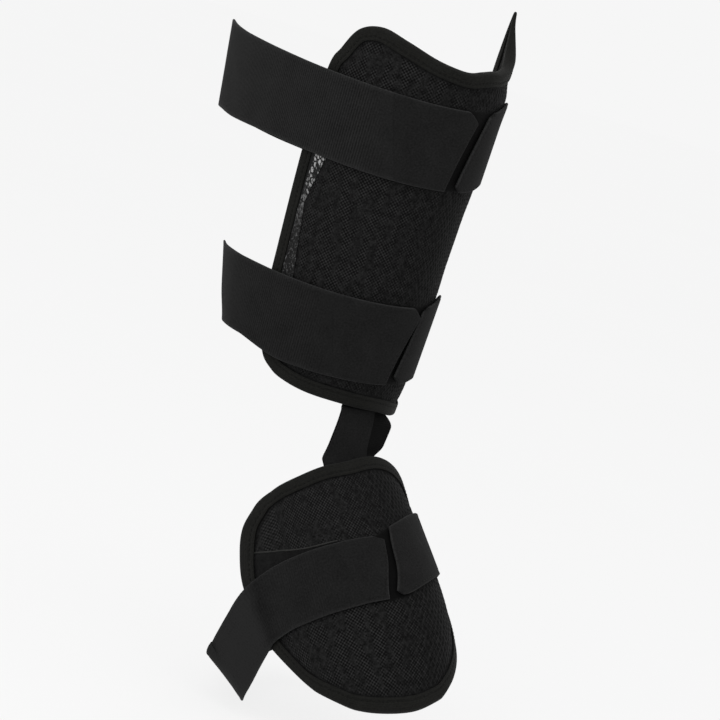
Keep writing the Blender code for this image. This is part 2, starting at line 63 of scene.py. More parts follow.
# %% [markdown]
# ## The sizes
#
# The cloth pieces must lie exactly where the solids lie, so this cell repeats the sizes that the solids are
# drawn from. A named size says what it measures, and a pattern cut for the real guard would list the same
# ones. Each outline is a short table of shares, because a sewing pattern is also a few points that a smooth
# curve runs through.

# %% Sizes of the two shells
MM = 0.001
LEG_HALF_WIDTH = 66.3 * MM
LEG_FRONT_DEPTH = 80 * MM
CALF_BACK_DEPTH = 130 * MM
ANKLE_BACK_DEPTH = 73 * MM
CALF_BACK_LEAN = 0.12
ANKLE_BACK_LEAN = 0.42
FLARE_AT_TOP = 0.050
TAPER_AT_HEM = 0.070
SHIN_HALF_HEIGHT = 119 * MM
SHIN_NEAR_WRAP = 112.5 * MM
SHIN_FAR_WRAP = 68.5 * MM
SHIN_PADDING = 10 * MM
LEG_AXIS_Y = LEG_FRONT_DEPTH - SHIN_PADDING

FOOT_HALF_WIDTH = 61 * MM
INSTEP_RISE = 62 * MM
ANKLE_RISE = 49 * MM
ANKLE_HALF_WIDTH = 58 * MM
FOOT_SLOPE = math.radians(39)
SOLE_SLOPE = math.radians(25)
FOOT_ROLL = math.radians(10)
FOOT_WALL = 60 * MM
SOLE_ROUNDING = 34 * MM
FILLING_FROM = 0.02
FILLING_TO = 0.68
SOLE_MEETS_WALL_AT = 0.65
TOES_FROM = 0.63
TOES_NARROW_BY = 0.45
TOES_FALL_BY = 0.75
FOOT_LENGTH = 173 * MM
FOOT_NEAR_WRAP = 124 * MM
FOOT_FAR_WRAP = 64 * MM
FOOT_PADDING = 9 * MM
FOOT_ALONG = np.array([0.0, -math.sin(FOOT_SLOPE), -math.cos(FOOT_SLOPE)])
FOOT_OUT = np.array([0.0, -math.cos(FOOT_SLOPE), math.sin(FOOT_SLOPE)])
FOOT_ORIGIN = np.array([0.0, 23.4 * MM, -179 * MM])

# %% Sizes of the trim and the straps
EDGE_PADDING = 5 * MM
EDGE_DIP = 1.8 * MM
TAPE_WIDTH = 8 * MM
TAPE_THICKNESS = 1.2 * MM
FIT_GAP = 0.3 * MM
SEAT_GAP = 0.5 * MM
PANEL_THICKNESS = 0.6 * MM
STRAP_WIDTH = 55 * MM
STRAP_THICKNESS = 1.6 * MM
FOOT_STRAP_WIDTH = 44 * MM
TAB_THICKNESS = 2.2 * MM
LEG_JOINS = (53 * MM, -35 * MM)
FOOT_JOINS = (50 * MM, -16 * MM)
UPPER_STRAP_HEIGHT = 62 * MM
LOWER_STRAP_HEIGHT = -75 * MM
JOIN_SLANT = 0.28
SHIN_STRAP_RISE = FIT_GAP + PANEL_THICKNESS + SEAT_GAP
FOOT_STRAP_RISE = SEAT_GAP + FIT_GAP

# %% Outlines of the shells, as shares
SHIN_OUTLINE = [
    # round (1 near edge, -1 far edge), up (1 half the height)
    (0.11, 0.946), (0.21, 0.944), (0.36, 0.963), (0.55, 1.012), (0.71, 1.045), (0.84, 1.005),
    (0.92, 0.885), (0.975, 0.76), (1.00, 0.34), (0.99, -0.25), (0.972, -0.65), (0.895, -0.85),
    (0.80, -0.926), (0.70, -0.96), (0.53, -0.985), (0.27, -0.994), (-0.05, -1.005), (-0.50, -1.035),
    (-0.82, -1.025), (-0.97, -0.94), (-1.00, -0.78), (-1.00, -0.10), (-1.00, 0.60), (-1.00, 1.12),
    (-0.99, 1.27), (-0.955, 1.35), (-0.885, 1.26), (-0.72, 1.125), (-0.49, 1.037), (-0.24, 0.995),
    (-0.10, 0.984), (0.01, 0.970),
]
FOOT_OUTLINE = [
    # round (1 near edge, -1 far edge), along (1 the whole length, to the toes)
    (0.00, 0.000), (0.23, 0.020), (0.38, 0.026), (0.555, 0.043), (0.73, 0.057), (0.82, 0.072),
    (0.87, 0.102), (0.925, 0.150), (0.968, 0.23), (1.01, 0.36), (1.01, 0.51), (0.985, 0.635),
    (0.845, 0.795), (0.63, 0.918), (0.51, 0.963), (0.36, 0.990), (0.21, 0.998), (0.08, 0.982),
    (-0.10, 0.942), (-0.345, 0.872), (-0.64, 0.757), (-0.88, 0.59), (-1.00, 0.43), (-1.00, 0.27),
    (-0.90, 0.15), (-0.68, 0.075), (-0.34, 0.02),
]
SHIN_CUT = (SHIN_OUTLINE, SHIN_NEAR_WRAP, SHIN_FAR_WRAP, SHIN_HALF_HEIGHT)
FOOT_CUT = (FOOT_OUTLINE, FOOT_NEAR_WRAP, FOOT_FAR_WRAP, FOOT_LENGTH)

# %% Heights of the loops, as shares
UPPER_LOOP = [
    # round (1 the back, by the near side), up (in strap widths)
    (-1.00, 0.08), (-0.85, -0.12), (-0.65, -0.24), (-0.45, -0.18), (-0.28, 0.07), (-0.15, 0.175),
    (-0.05, 0.06), (0.05, 0.00), (0.40, 0.01), (0.55, 0.06), (0.70, 0.12), (0.85, 0.18), (1.00, 0.08),
]
LOWER_LOOP = [
    # round, up
    (-1.00, -0.16), (-0.93, -0.31), (-0.85, -0.40), (-0.65, -0.42), (-0.45, -0.27), (-0.28, 0.04),
    (-0.20, 0.12), (-0.12, 0.115), (-0.05, 0.07), (0.05, 0.03), (0.25, -0.01), (0.45, 0.00),
    (0.60, 0.02), (0.72, 0.02), (0.88, -0.04), (1.00, -0.16),
]
FOOT_LOOP = [
    # round (1 the middle of the sole, by the near side), along (a share of the shell's length)
    (-1.00, 0.48), (-0.95, 0.457), (-0.84, 0.43), (-0.66, 0.40), (-0.45, 0.355), (-0.30, 0.34),
    (-0.20, 0.34), (-0.105, 0.363), (0.03, 0.425), (0.09, 0.455), (0.20, 0.463), (0.35, 0.471),
    (0.46, 0.483), (0.52, 0.507), (0.571, 0.552), (0.623, 0.5965), (0.665, 0.630), (0.70, 0.650),
    (0.726, 0.654), (0.76, 0.649), (0.794, 0.6345), (0.83, 0.607), (0.91, 0.53), (0.95, 0.503),
    (1.00, 0.48),
]
print("sizes and tables are ready")

# %% [markdown]
# ## Smooth curves
#
# A table of a few points has to become a smooth line. A closed curve runs through an outline's points, and a
# cubic through a table of heights. An even S leads from one value to another, and a bell curve makes a bump.


# %% Curve tools
def smooth_step(low, high, value):
    """0 below `low`, 1 above `high`, and t * t * (3 - 2 t) between them."""
    share = np.clip((np.asarray(value, float) - low) / (high - low), 0, 1)
    return share * share * (3 - 2 * share)


def bell(value, middle, reach):
    """A bell curve: e to the power of minus the square of the distance from the middle, in reaches."""
    return np.exp(-(((value - middle) / reach) ** 2))


def unit(vectors):
    """The same directions, each with length 1."""
    return vectors / np.linalg.norm(vectors, axis=-1)[..., None]


def run_along(points):
    """The way along a line of points: 0 at its start, then the sum of the steps up to each point."""
    return np.concatenate([[0], np.cumsum(np.linalg.norm(np.diff(points, axis=0), axis=1))])


def paired(first, second):
    """Two arrays as one array of pairs, each stretched to the other's shape."""
    return np.stack(np.broadcast_arrays(first, second), axis=-1)


def smooth_loop(rows, count):
    """`count` evenly spaced points of the closed Catmull-Rom curve through the rows. Each stretch is the
    cubic whose slopes at its two ends are half the step between the neighbours of that end."""
    rows = np.asarray(rows, float)
    t = np.linspace(0, 1, 40, endpoint=False)[None, :, None]
    a, b, c, d = (np.roll(rows, turn, axis=0)[:, None] for turn in (1, 0, -1, -2))
    dense = (2 * b + (c - a) * t + (2 * a - 5 * b + 4 * c - d) * t**2 + (3 * b - a - 3 * c + d) * t**3) / 2
    dense = np.concatenate([dense.reshape(-1, 2), rows[:1]])
    run = run_along(dense)
    at = np.linspace(0, run[-1], count, endpoint=False)
    return np.column_stack([np.interp(at, run, column) for column in dense.T])


def smooth_table(rows, at):
    """The table's second column where its first is `at`: cubic Hermite between the rows, whose slopes are
    those of the neighbouring rows."""
    place, value = np.asarray(rows, float).T
    slope = np.gradient(value, place)
    at = np.clip(at, place[0], place[-1])
    row = np.clip(np.searchsorted(place, at, side="right") - 1, 0, len(place) - 2)
    width = place[row + 1] - place[row]
    t = (at - place[row]) / width
    start = (1 + 2 * t) * (1 - t) ** 2 * value[row] + t * (1 - t) ** 2 * width * slope[row]
    return start + t * t * (3 - 2 * t) * value[row + 1] + t * t * (t - 1) * width * slope[row + 1]


def quarter_ellipse(across, deep):
    """The angles of a quarter ellipse, from its pole to its side, and the arc length at each."""
    angle = np.linspace(0, math.pi / 2, 721)
    run = np.hypot(np.diff(across * np.sin(angle)), np.diff(deep * np.cos(angle)))
    return angle, np.concatenate([[0], np.cumsum(run)])


# %% [markdown]
# ## The two surfaces
#
# Cloth wraps a body, so each piece is drawn flat and then wrapped. A place on the cloth has three numbers:
# how far round, how far along, and how far it rises out of the surface. The leg's section is half an ellipse
# in front and half a deeper one behind. The foot's section is half an ellipse over the instep, two walls,
# and half a flat ellipse under the sole. Wrapping keeps every strip's true width, as real cloth does.


# %% The leg's surface
def half_girth(back_depth):
    """Half the way round the leg: the front quarter ellipse's arc and the back one's."""
    front = quarter_ellipse(LEG_HALF_WIDTH, LEG_FRONT_DEPTH)[1][-1]
    return front + quarter_ellipse(LEG_HALF_WIDTH, back_depth)[1][-1]


def leg_point(around, up, rise=0.0, back_depth=CALF_BACK_DEPTH, back_gain=0.0):
    """Points on the leg: the arc length gives an angle on the front or the back ellipse, the height scales
    the section by a parabola, and `rise` is added along the ellipse's own normal."""
    around, up, rise, back_gain = np.broadcast_arrays(
        *(np.asarray(value, float) for value in (around, up, rise, back_gain))
    )
    front_angle, front_run = quarter_ellipse(LEG_HALF_WIDTH, LEG_FRONT_DEPTH)
    back_angle, back_run = quarter_ellipse(LEG_HALF_WIDTH, back_depth)
    arc = np.abs(around)
    in_front = arc <= front_run[-1]
    from_back = front_run[-1] + back_run[-1] - arc
    angle = np.where(
        in_front, np.interp(arc, front_run, front_angle), np.interp(from_back, back_run, back_angle)
    )
    depth = np.where(in_front, -LEG_FRONT_DEPTH, back_depth + back_gain)
    side = -np.sign(around)
    out_x = side * np.sin(angle) / LEG_HALF_WIDTH
    out_y = np.cos(angle) / depth
    length = np.hypot(out_x, out_y)
    share = up / SHIN_HALF_HEIGHT
    scale = 1 + (FLARE_AT_TOP + TAPER_AT_HEM) / 2 * share + (FLARE_AT_TOP - TAPER_AT_HEM) / 2 * share**2
    x = side * LEG_HALF_WIDTH * np.sin(angle) * scale + rise * out_x / length
    y = LEG_AXIS_Y + depth * np.cos(angle) * scale + rise * out_y / length
    return np.stack([x, y, up], axis=-1)


# %% The shin cloth's surface
LOBE_TIP = (-65.4 * MM, 160.7 * MM)
LOBE_PINCH = 0.25
LOBE_REACH = 40 * MM
PINCH_RISE = -7 * MM


def shin_point(around, up, rise=0.0):
    """Points of the shin shell: the leg's surface, where rises draw together towards the inner face near the
    lobe's tip, so the padding thins to a point there, by an even S of the distance from the tip."""
    apart = np.hypot(around - LOBE_TIP[0], up - LOBE_TIP[1])
    keep = LOBE_PINCH + (1 - LOBE_PINCH) * smooth_step(0, LOBE_REACH, apart)
    return leg_point(around, up, PINCH_RISE + (rise - PINCH_RISE) * keep)


# %% The foot's surface
FOOT_TOP_RUN = quarter_ellipse(FOOT_HALF_WIDTH, INSTEP_RISE)[1][-1]
FOOT_LOW_RUN = quarter_ellipse(FOOT_HALF_WIDTH, SOLE_ROUNDING)[1][-1]
FOOT_HALF_GIRTH = FOOT_TOP_RUN + FOOT_WALL + FOOT_LOW_RUN


def foot_frame(around, along, rise=0.0):
    """Points on the foot and the surface's normals there. The arc length falls on the top half ellipse, on a
    wall or on the low half ellipse. The section fills out from the ankle and narrows again to the toes, and
    the sole rises towards the toes and towards the far side."""
    around, along, rise = np.broadcast_arrays(*(np.asarray(v, float) for v in (around, along, rise)))
    top_angle, top_run = quarter_ellipse(FOOT_HALF_WIDTH, INSTEP_RISE)
    low_angle, low_run = quarter_ellipse(FOOT_HALF_WIDTH, SOLE_ROUNDING)
    fullness = smooth_step(FILLING_FROM, FILLING_TO, along / FOOT_LENGTH)
    toes = np.clip(along / FOOT_LENGTH - TOES_FROM, 0, None) ** 2
    half_width = ANKLE_HALF_WIDTH + (FOOT_HALF_WIDTH - ANKLE_HALF_WIDTH) * fullness
    half_width = half_width - TOES_NARROW_BY * FOOT_HALF_WIDTH * toes
    height = ANKLE_RISE + (INSTEP_RISE - ANKLE_RISE) * fullness - TOES_FALL_BY * INSTEP_RISE * toes
    arc = np.abs(around)
    side = -np.sign(around)
    over = np.interp(arc, top_run, top_angle)
    under = np.interp(low_run[-1] - (arc - FOOT_TOP_RUN - FOOT_WALL), low_run, low_angle)
    below = arc > FOOT_TOP_RUN + FOOT_WALL
    wall_depth = np.clip(arc - FOOT_TOP_RUN, 0, FOOT_WALL)
    depth_share = wall_depth / FOOT_WALL
    sole_shift = math.tan(SOLE_SLOPE) * (SOLE_MEETS_WALL_AT * FOOT_LENGTH - along) * depth_share
    angle = np.where(below, under, over)
    far_share = (1 + side * np.sin(angle)) / 2
    roll_shift = 2 * FOOT_HALF_WIDTH * math.tan(FOOT_ROLL) * far_share * depth_share
    out = np.where(below, -SOLE_ROUNDING, height) * np.cos(angle) - wall_depth - sole_shift + roll_shift
    x = side * np.sin(angle) * half_width
    lean = math.tan(SOLE_SLOPE) * depth_share
    face_x = side * np.sin(angle) / half_width
    face_out = np.where(below, -np.cos(angle) / SOLE_ROUNDING, np.cos(angle) / height)
    face_along = np.where(below, -face_out * lean, 0)
    length = np.sqrt(face_x**2 + face_out**2 + face_along**2)
    faces = np.stack([face_x / length, face_out / length, face_along / length], axis=-1)
    axes = np.array([[1.0, 0.0, 0.0], FOOT_OUT, FOOT_ALONG])
    normals = faces @ axes
    points = FOOT_ORIGIN + np.stack([x, out, along], axis=-1) @ axes + rise[..., None] * normals
    return points, normals


def foot_point(around, along, rise=0.0):
    """Points on the foot's surface, raised from it."""
    return foot_frame(around, along, rise)[0]


CALF_HALF_GIRTH, ANKLE_HALF_GIRTH = half_girth(CALF_BACK_DEPTH), half_girth(ANKLE_BACK_DEPTH)
HALF_GIRTHS = (CALF_HALF_GIRTH, ANKLE_HALF_GIRTH, FOOT_HALF_GIRTH)
print("half girths: calf %.3f m, ankle %.3f m, foot %.3f m" % HALF_GIRTHS)

# %% [markdown]
# ## The camera
#
# A long lens far away shows the guard with little perspective, as a product photo does. The picture is also
# rolled, so the leg leans in it. The camera's three axes are worked out directly, because a rolled view is
# easier to state as a right, an up and a back direction than as three angles.

# %% Camera
VIEW_ROUND = math.radians(50)
VIEW_ABOVE = math.radians(8)
VIEW_ROLL = math.radians(16.7)
VIEW_DISTANCE = 1.6392
AIM_RIGHT = 35.7 * MM
AIM_BELOW = 95.5 * MM
LENS_MM = 120


def direction(turn, above):
    """The unit vector towards a place that is `turn` round from the front, towards the near side, and
    `above` the horizon."""
    flat = math.cos(above)
    return np.array([-math.sin(turn) * flat, -math.cos(turn) * flat, math.sin(above)])


def stand(thing, right, up, back, place):
    """Puts a camera or a lamp into the scene, from its three axes and its place."""
    rows = np.eye(4)
    rows[:3] = np.column_stack([right, up, back, place])
    thing.matrix_world = Matrix(rows.tolist())
    bpy.context.scene.collection.objects.link(thing)


view_back = direction(VIEW_ROUND, VIEW_ABOVE)
level_right = np.array([math.cos(VIEW_ROUND), -math.sin(VIEW_ROUND), 0.0])
level_up = np.cross(view_back, level_right)
view_right = math.cos(VIEW_ROLL) * level_right + math.sin(VIEW_ROLL) * level_up
view_up = math.cos(VIEW_ROLL) * level_up - math.sin(VIEW_ROLL) * level_right
view_aim = np.array([0.0, LEG_AXIS_Y, 0.0]) + AIM_RIGHT * level_right - AIM_BELOW * level_up
eye = view_aim + view_back * VIEW_DISTANCE

camera = bpy.data.objects.new("camera", bpy.data.cameras.new("camera"))
camera.data.lens = LENS_MM
camera.data.clip_start, camera.data.clip_end = 0.1, 100
stand(camera, view_right, view_up, view_back, eye)
bpy.context.scene.camera = camera
print("camera at", np.round(eye, 3), "with a", LENS_MM, "mm lens")

# %% [markdown]
# ## Shader tools
#
# A cloth's finish is built from nodes. Writing each node out by hand hides the idea under bookkeeping, so a
# small class wires them: arithmetic on a node's output adds the next node, and a finish reads as a formula.


# %% Shader tools
class Knot:
    """A shader node and one of its outputs. Each given input is a knot to wire in, a value to set, or None
    to leave. A sum, difference or product with a knot in it is one more node."""

    def __init__(self, tree, kind, *given, out=0, **settings):
        self.tree, self.node = tree, tree.nodes.new("ShaderNode" + kind)
        self.output = self.node.outputs[out]
        for name, value in settings.items():
            setattr(self.node, name, value)
        for socket, value in zip(self.node.inputs, given):
            if isinstance(value, Knot):
                tree.links.new(value.output, socket)
            elif value is not None:
                socket.default_value = value

    def by(self, operation, *others):
        """One step of arithmetic on this knot, with other knots or numbers."""
        return Knot(self.tree, "Math", self, *others, operation=operation)

    def __add__(self, other):
        return self.by("ADD", other)

    def __sub__(self, other):
        return self.by("SUBTRACT", other)

    def __rsub__(self, other):
        return Knot(self.tree, "Math", other, self, operation="SUBTRACT")

    def __mul__(self, other):
        return self.by("MULTIPLY", other)


def vectors(operation, first, *others, out=0):
    """One step of arithmetic on vectors. Its output 1 is a number, such as a length."""
    return Knot(first.tree, "VectorMath", first, *others, operation=operation, out=out)


def sides(on_cloth):
    """A place's two numbers: round or across, and along."""
    return [Knot(on_cloth.tree, "SeparateXYZ", on_cloth, out=axis) for axis in (0, 1)]


def noise(on_cloth, scale, detail, roughness, out=0):
    """A cloudy noise, as a number or with `out` 1 as a colour."""
    return Knot(on_cloth.tree, "TexNoise", on_cloth, None, scale, detail, roughness, out=out)


def ramp(value, low, high, start=0.0, end=1.0, shape="SMOOTHSTEP"):
    """`start` below `low`, `end` above `high`, and an even S or a straight line between them."""
    return Knot(value.tree, "MapRange", value, low, high, start, end, interpolation_type=shape)


def carried(tree, *names):
    """Named shares that the mesh itself carries at its points."""
    return [Knot(tree, "Attribute", attribute_name=name, out=2) for name in names]


def blended(share, first, second):
    """A colour between two, by a share from 0 to 1."""
    return Knot(share.tree, "Mix", share, *[None] * 5, first, second, data_type="RGBA", out=2)


def grey(level, olive=0.0):
    """A near grey as a colour: a level of reflected light, and how much blue it lacks."""
    return (level, level, level * (1 - olive), 1)


def new_cloth(name, roughness, specular, sheen=0.0):
    """A cloth material and its node tree, shader and place on the cloth in metres."""
    material = bpy.data.materials.new(name)
    material.use_nodes = True
    tree = material.node_tree
    shader = tree.nodes["Principled BSDF"]
    shader.inputs["Roughness"].default_value = roughness
    shader.inputs["Specular IOR Level"].default_value = specular
    shader.inputs["Sheen Weight"].default_value = sheen
    shader.inputs["Sheen Roughness"].default_value = 0.5
    return material, tree, shader, Knot(tree, "TexCoord", out=2)


def finish_cloth(shader, colour, height, depth):
    """Wires the colour, and a bump whose depth is in metres."""
    tree = colour.tree
    tree.links.new(colour.output, shader.inputs["Base Color"])
    bump = Knot(tree, "Bump", 1.0, depth)
    tree.links.new(height.output, bump.node.inputs["Height"])
    tree.links.new(bump.output, shader.inputs["Normal"])


# %% [markdown]
# ## The spacer mesh
#
# Spacer mesh is two knitted faces held apart by fine yarns, and its outer face has rows of oval openings,
# each row half a step along from the last. The openings are large enough to be cut into the geometry, and
# the shader darkens them by the same formula, so the two always agree. The fine diagonal yarns between them
# are too small for geometry and are a bump.

# %% Where the openings are
SHIN_MESH = (3.4 * MM, 2.9 * MM)
FOOT_MESH = (4.2 * MM, 3.6 * MM)
OPENING_EDGES = (0.08, 0.52)
OPENING_STRETCH = 1.45
ROW_SWAY = 0.45 * MM
SWAY_LENGTHS = (31 * MM, 19 * MM)


def opening_depth(flat, mesh):
    """How open the mesh is at each flat place, from 0 to 1. The rows sway by a sine along each way. The
    openings stand on two lattices of the same pitch, the second half a step along both ways, and each is an
    even S of the distance to its centre, in which the way along counts for less."""
    pitch, row = mesh
    cell = np.array([pitch, 2 * row])
    sway = ROW_SWAY * np.sin(flat[..., ::-1] * 2 * math.pi / SWAY_LENGTHS)
    cells = (flat + sway) / cell
    offsets = [part - np.round(part) for part in (cells, cells + 0.5)]
    scale = np.array([1, 2 * row / pitch / OPENING_STRETCH])
    apart = np.minimum(*(np.linalg.norm(offset * scale, axis=-1) for offset in offsets))
    return 1 - smooth_step(*OPENING_EDGES, apart)


# %% The mesh cloth
YARN_PITCH = 2.5 * MM
YARN_SHADES = (0.12, 2.8)
PLAIN_SHADE = 0.3
# Painted light and shade across the mesh: the span of the way round over which it goes from painted shade on
# the far side to painted light on the near side.
PAINTED_LIGHT_SPAN = (-20 * MM, 50 * MM)
COLUMN_STRETCH = 0.3
SHADE_STRENGTH = 0.8


def mesh_cloth(name, mesh, yarn, hole, hole_strength, crossing_strength):
    """A spacer mesh whose colour runs from its yarn to the dark of its openings, by the same formula as
    opening_depth. Its fine crossing yarns are the product of two sine waves, one each way, whose crests meet
    along the diagonals, and a noise drawn out along the cloth gathers them into columns. Painted light makes
    them show most towards the near edge, and painted shade darkens the cloth and its openings towards the far
    edge. Beside the mesh the cloth is plain, and between two tabs it is darkened as painted shade."""
    material, tree, shader, on_cloth = new_cloth(name, 0.8, 0.05, 0.02)
    pitch, row = mesh
    around, along = sides(on_cloth)
    sway = [(run * (2 * math.pi / length)).by("SINE") for run, length in zip((along, around), SWAY_LENGTHS)]
    swayed = vectors("MULTIPLY_ADD", Knot(tree, "CombineXYZ", *sway, 0.0), (ROW_SWAY, ROW_SWAY, 0), on_cloth)
    cells = vectors("MULTIPLY", swayed, (1 / pitch, 1 / (2 * row), 0))
    distances = []
    for shift in (0.5, 0.0):
        part = vectors("FRACTION", vectors("ADD", cells, (shift, shift, 0)))
        part = vectors("SUBTRACT", part, (0.5, 0.5, 0))
        part = vectors("MULTIPLY", part, (1, 2 * row / pitch / OPENING_STRETCH, 0))
        distances.append(vectors("LENGTH", part, out=1))
    is_mesh, shaded = carried(tree, "is_mesh", "shaded")
    open_share = ramp(distances[0].by("MINIMUM", distances[1]), *OPENING_EDGES, 1.0, 0.0) * is_mesh
    waves = [(run * (2 * math.pi / YARN_PITCH)).by("SINE") for run in (around, along)]
    crossing = waves[0] * waves[1] * is_mesh
    # Painted light: a share that rises towards the near edge, where the light falls. It brightens the
    # crossing yarns there, and its lack darkens the far side and its openings as painted shade.
    painted_light_share = ramp(around, *PAINTED_LIGHT_SPAN)
    columns = noise(vectors("MULTIPLY", on_cloth, (1.0, COLUMN_STRETCH, 1.0)), 170.0, 2.0, 0.5)
    thread = ramp(columns, 0.42, 0.60, 0.05, crossing_strength, "LINEAR") * (painted_light_share * 0.75 + 0.25)
    mottle, fuzz = noise(on_cloth, 240.0, 3.0, 0.6), noise(on_cloth, 900.0, 2.0, 0.6)
    share = crossing * thread + (fuzz * 1.3 - 0.65) + (mottle * 1.3 - 0.28) + (painted_light_share * 0.12 - 0.12)
    colour = blended(share, *(grey(yarn * shade) for shade in YARN_SHADES))
    colour = blended((1.0 - is_mesh) * 0.65, colour, grey(yarn * PLAIN_SHADE))
    colour = blended(open_share * (painted_light_share * (-0.65 * hole_strength) + hole_strength), colour, grey(hole))
    # Painted shade between two tabs: the colour is pulled towards the openings' dark.
    colour = blended(shaded * SHADE_STRENGTH, colour, grey(hole))
    finish_cloth(shader, colour, crossing * 0.35 - open_share, 0.12 * MM)
    return material


shin_mesh = mesh_cloth("shin_spacer_mesh", SHIN_MESH, 0.0078, 0.0012, 0.60, 0.85)
foot_mesh = mesh_cloth("foot_spacer_mesh", FOOT_MESH, 0.0081, 0.0008, 0.85, 1.15)
print("mesh cloths:", shin_mesh.name, foot_mesh.name)

# %% [markdown]
# ## The other cloths
#
# Binding tape is a plain weave with fine ribs across it. Elastic webbing has ribs across its run, which are
# in its geometry too, and finer yarns along it. The tabs are a brushed cloth, soft and even. The side strip
# carries a pale broken print. Each pattern is laid on the cloth in metres, so it keeps its scale on every
# piece.

# %% Binding tape, elastic webbing, brushed tabs, print and thread
TAPE_RIB = 0.65 * MM
WEBBING_YARN = 0.55 * MM
RIB_PITCH = 1.7 * MM
PRINT_CELL = 2.3 * MM
PRINT_SLANTS = ((1.0, 0.45, 0.0), (-0.3, 0.55, 0.0))
PRINT_WOBBLE = (1.6 * MM, 2.2 * MM, 0.0)


def woven_cloth(name, level, olive, pitches, contrast, bump, roughness=0.75, specular=0.05, sheen=0.02):
    """A weave: a cosine wave of ribs across the cloth and one of finer yarns along it, with a slow mottle and
    a fine fuzz. The colour runs from dark grooves to light ridges. An edge is lighter, partly from wear and
    partly as a painted highlight, and a carried share paints light on a place, and shade where it is below 0."""
    material, tree, shader, on_cloth = new_cloth(name, roughness, specular, sheen)
    ribs, yarns = ((run * (2 * math.pi / pitch)).by("COSINE") for run, pitch in zip(sides(on_cloth), pitches))
    plain, pale, edge_wear_and_highlight = carried(tree, "plain", "pale", "edge_wear_and_highlight")
    mottle, fuzz = noise(on_cloth, 55.0, 4.0, 0.6), noise(on_cloth, 750.0, 2.0, 0.6)
    weave = ribs * (1.0 - plain) * contrast + yarns * 0.08
    # The carried share "pale" paints light on the webbing, and paints shade where it is below 0.
    share = weave + (mottle * 0.6 - 0.05) + (fuzz * 1.3 - 0.40) - plain * 0.10 + pale * 0.5
    colour = blended(share, grey(level * 0.35, olive), grey(level * 1.5, olive))
    # Lighter outermost edge: partly wear, partly a painted highlight.
    colour = blended(edge_wear_and_highlight * fuzz, colour, grey(level * 3.2, olive))
    finish_cloth(shader, colour, fuzz * 0.8 + weave, bump)
    return material


# name, level, olive, pitches across and along, contrast, bump, then roughness, gloss and sheen
tape_cloth = woven_cloth("binding_tape", 0.0088, 0.10, (TAPE_RIB, 2 * TAPE_RIB), 0.2, 0.06 * MM)
ribbed_webbing = woven_cloth("ribbed_webbing", 0.0108, 0.0, (RIB_PITCH, WEBBING_YARN), 0.30, 0.05 * MM)
firm_webbing = woven_cloth("firm_webbing", 0.0094, 0.0, (RIB_PITCH, WEBBING_YARN), 0.22, 0.05 * MM)
smooth_webbing = woven_cloth(
    "smooth_webbing", 0.0098, 0.0, (RIB_PITCH, WEBBING_YARN), 0.08, 0.03 * MM, 0.85, 0.04
)
tab_cloth = woven_cloth("brushed_tab", 0.0098, 0.0, (0.9 * MM, 0.9 * MM), 0.06, 0.03 * MM, 0.85, 0.04, 0.02)
link_cloth = woven_cloth("link_webbing", 0.0024, 0.0, (1.2 * MM, WEBBING_YARN), 0.3, 0.05 * MM)
thread_cloth = woven_cloth("sewing_thread", 0.0050, 0.10, (0.4 * MM, 0.4 * MM), 0.2, 0.02 * MM, 0.6, 0.1, 0.0)
cord_cloth = woven_cloth("seam_cord", 0.0210, 0.05, (0.8 * MM, 0.4 * MM), 0.3, 0.02 * MM, 0.6, 0.1, 0.0)


def printed_cloth(name):
    """A dark cloth whose print is broken by a net of long slanting cells. At the top of the strip the cells
    are pale and the net is dark; further down the cells are dark and only the net is faintly pale. The
    distance to the nearest cell wall makes both, and beside the tape a margin is bare."""
    material, tree, shader, on_cloth = new_cloth(name, 0.6, 0.1)
    bent = vectors("MULTIPLY_ADD", noise(on_cloth, 420.0, 2.0, 0.5, out=1), PRINT_WOBBLE, on_cloth)
    slanted = (vectors("DOT_PRODUCT", bent, slant, out=1) for slant in PRINT_SLANTS)
    cells = Knot(tree, "CombineXYZ", *slanted, 0.0)
    walls = Knot(tree, "TexVoronoi", cells, None, 1 / PRINT_CELL, feature="DISTANCE_TO_EDGE")
    patch, net = ramp(walls, 0.08, 0.24), ramp(walls, 0.03, 0.13, 1.0, 0.0)
    across, up = sides(on_cloth)
    high = ramp(up, -25 * MM, 36 * MM)
    spots = noise(on_cloth, 520.0, 3.0, 0.7)
    spotted, broken = ramp(spots, 0.35, 0.65, 0.15, 1.0, "LINEAR"), ramp(spots, 0.48, 0.60, shape="LINEAR")
    strength = patch * high * spotted + net * broken * (1.0 - high) * 0.17
    margin = ramp(up, -5 * MM, 40 * MM, 0.2 * MM, 3.4 * MM, "LINEAR")
    strength = strength * ramp(across - margin, -0.1 * MM, 0.4 * MM, shape="LINEAR")
    finish_cloth(shader, blended(strength, grey(0.0060), grey(0.45)), patch, 0.05 * MM)
    return material


print_cloth = printed_cloth("printed_strip")
print("cloths:", [m.name for m in bpy.data.materials if m.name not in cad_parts])

# %% [markdown]
# ## Putting a surface into a mesh
#
# Every piece below is worked out as arrays of points and faces. One helper puts them into a mesh, turns the
# faces outward and gives each corner its place on the flat cloth, which the finishes read. Most pieces are
# closed sheets: two faces over the same cells, joined all round their rim.


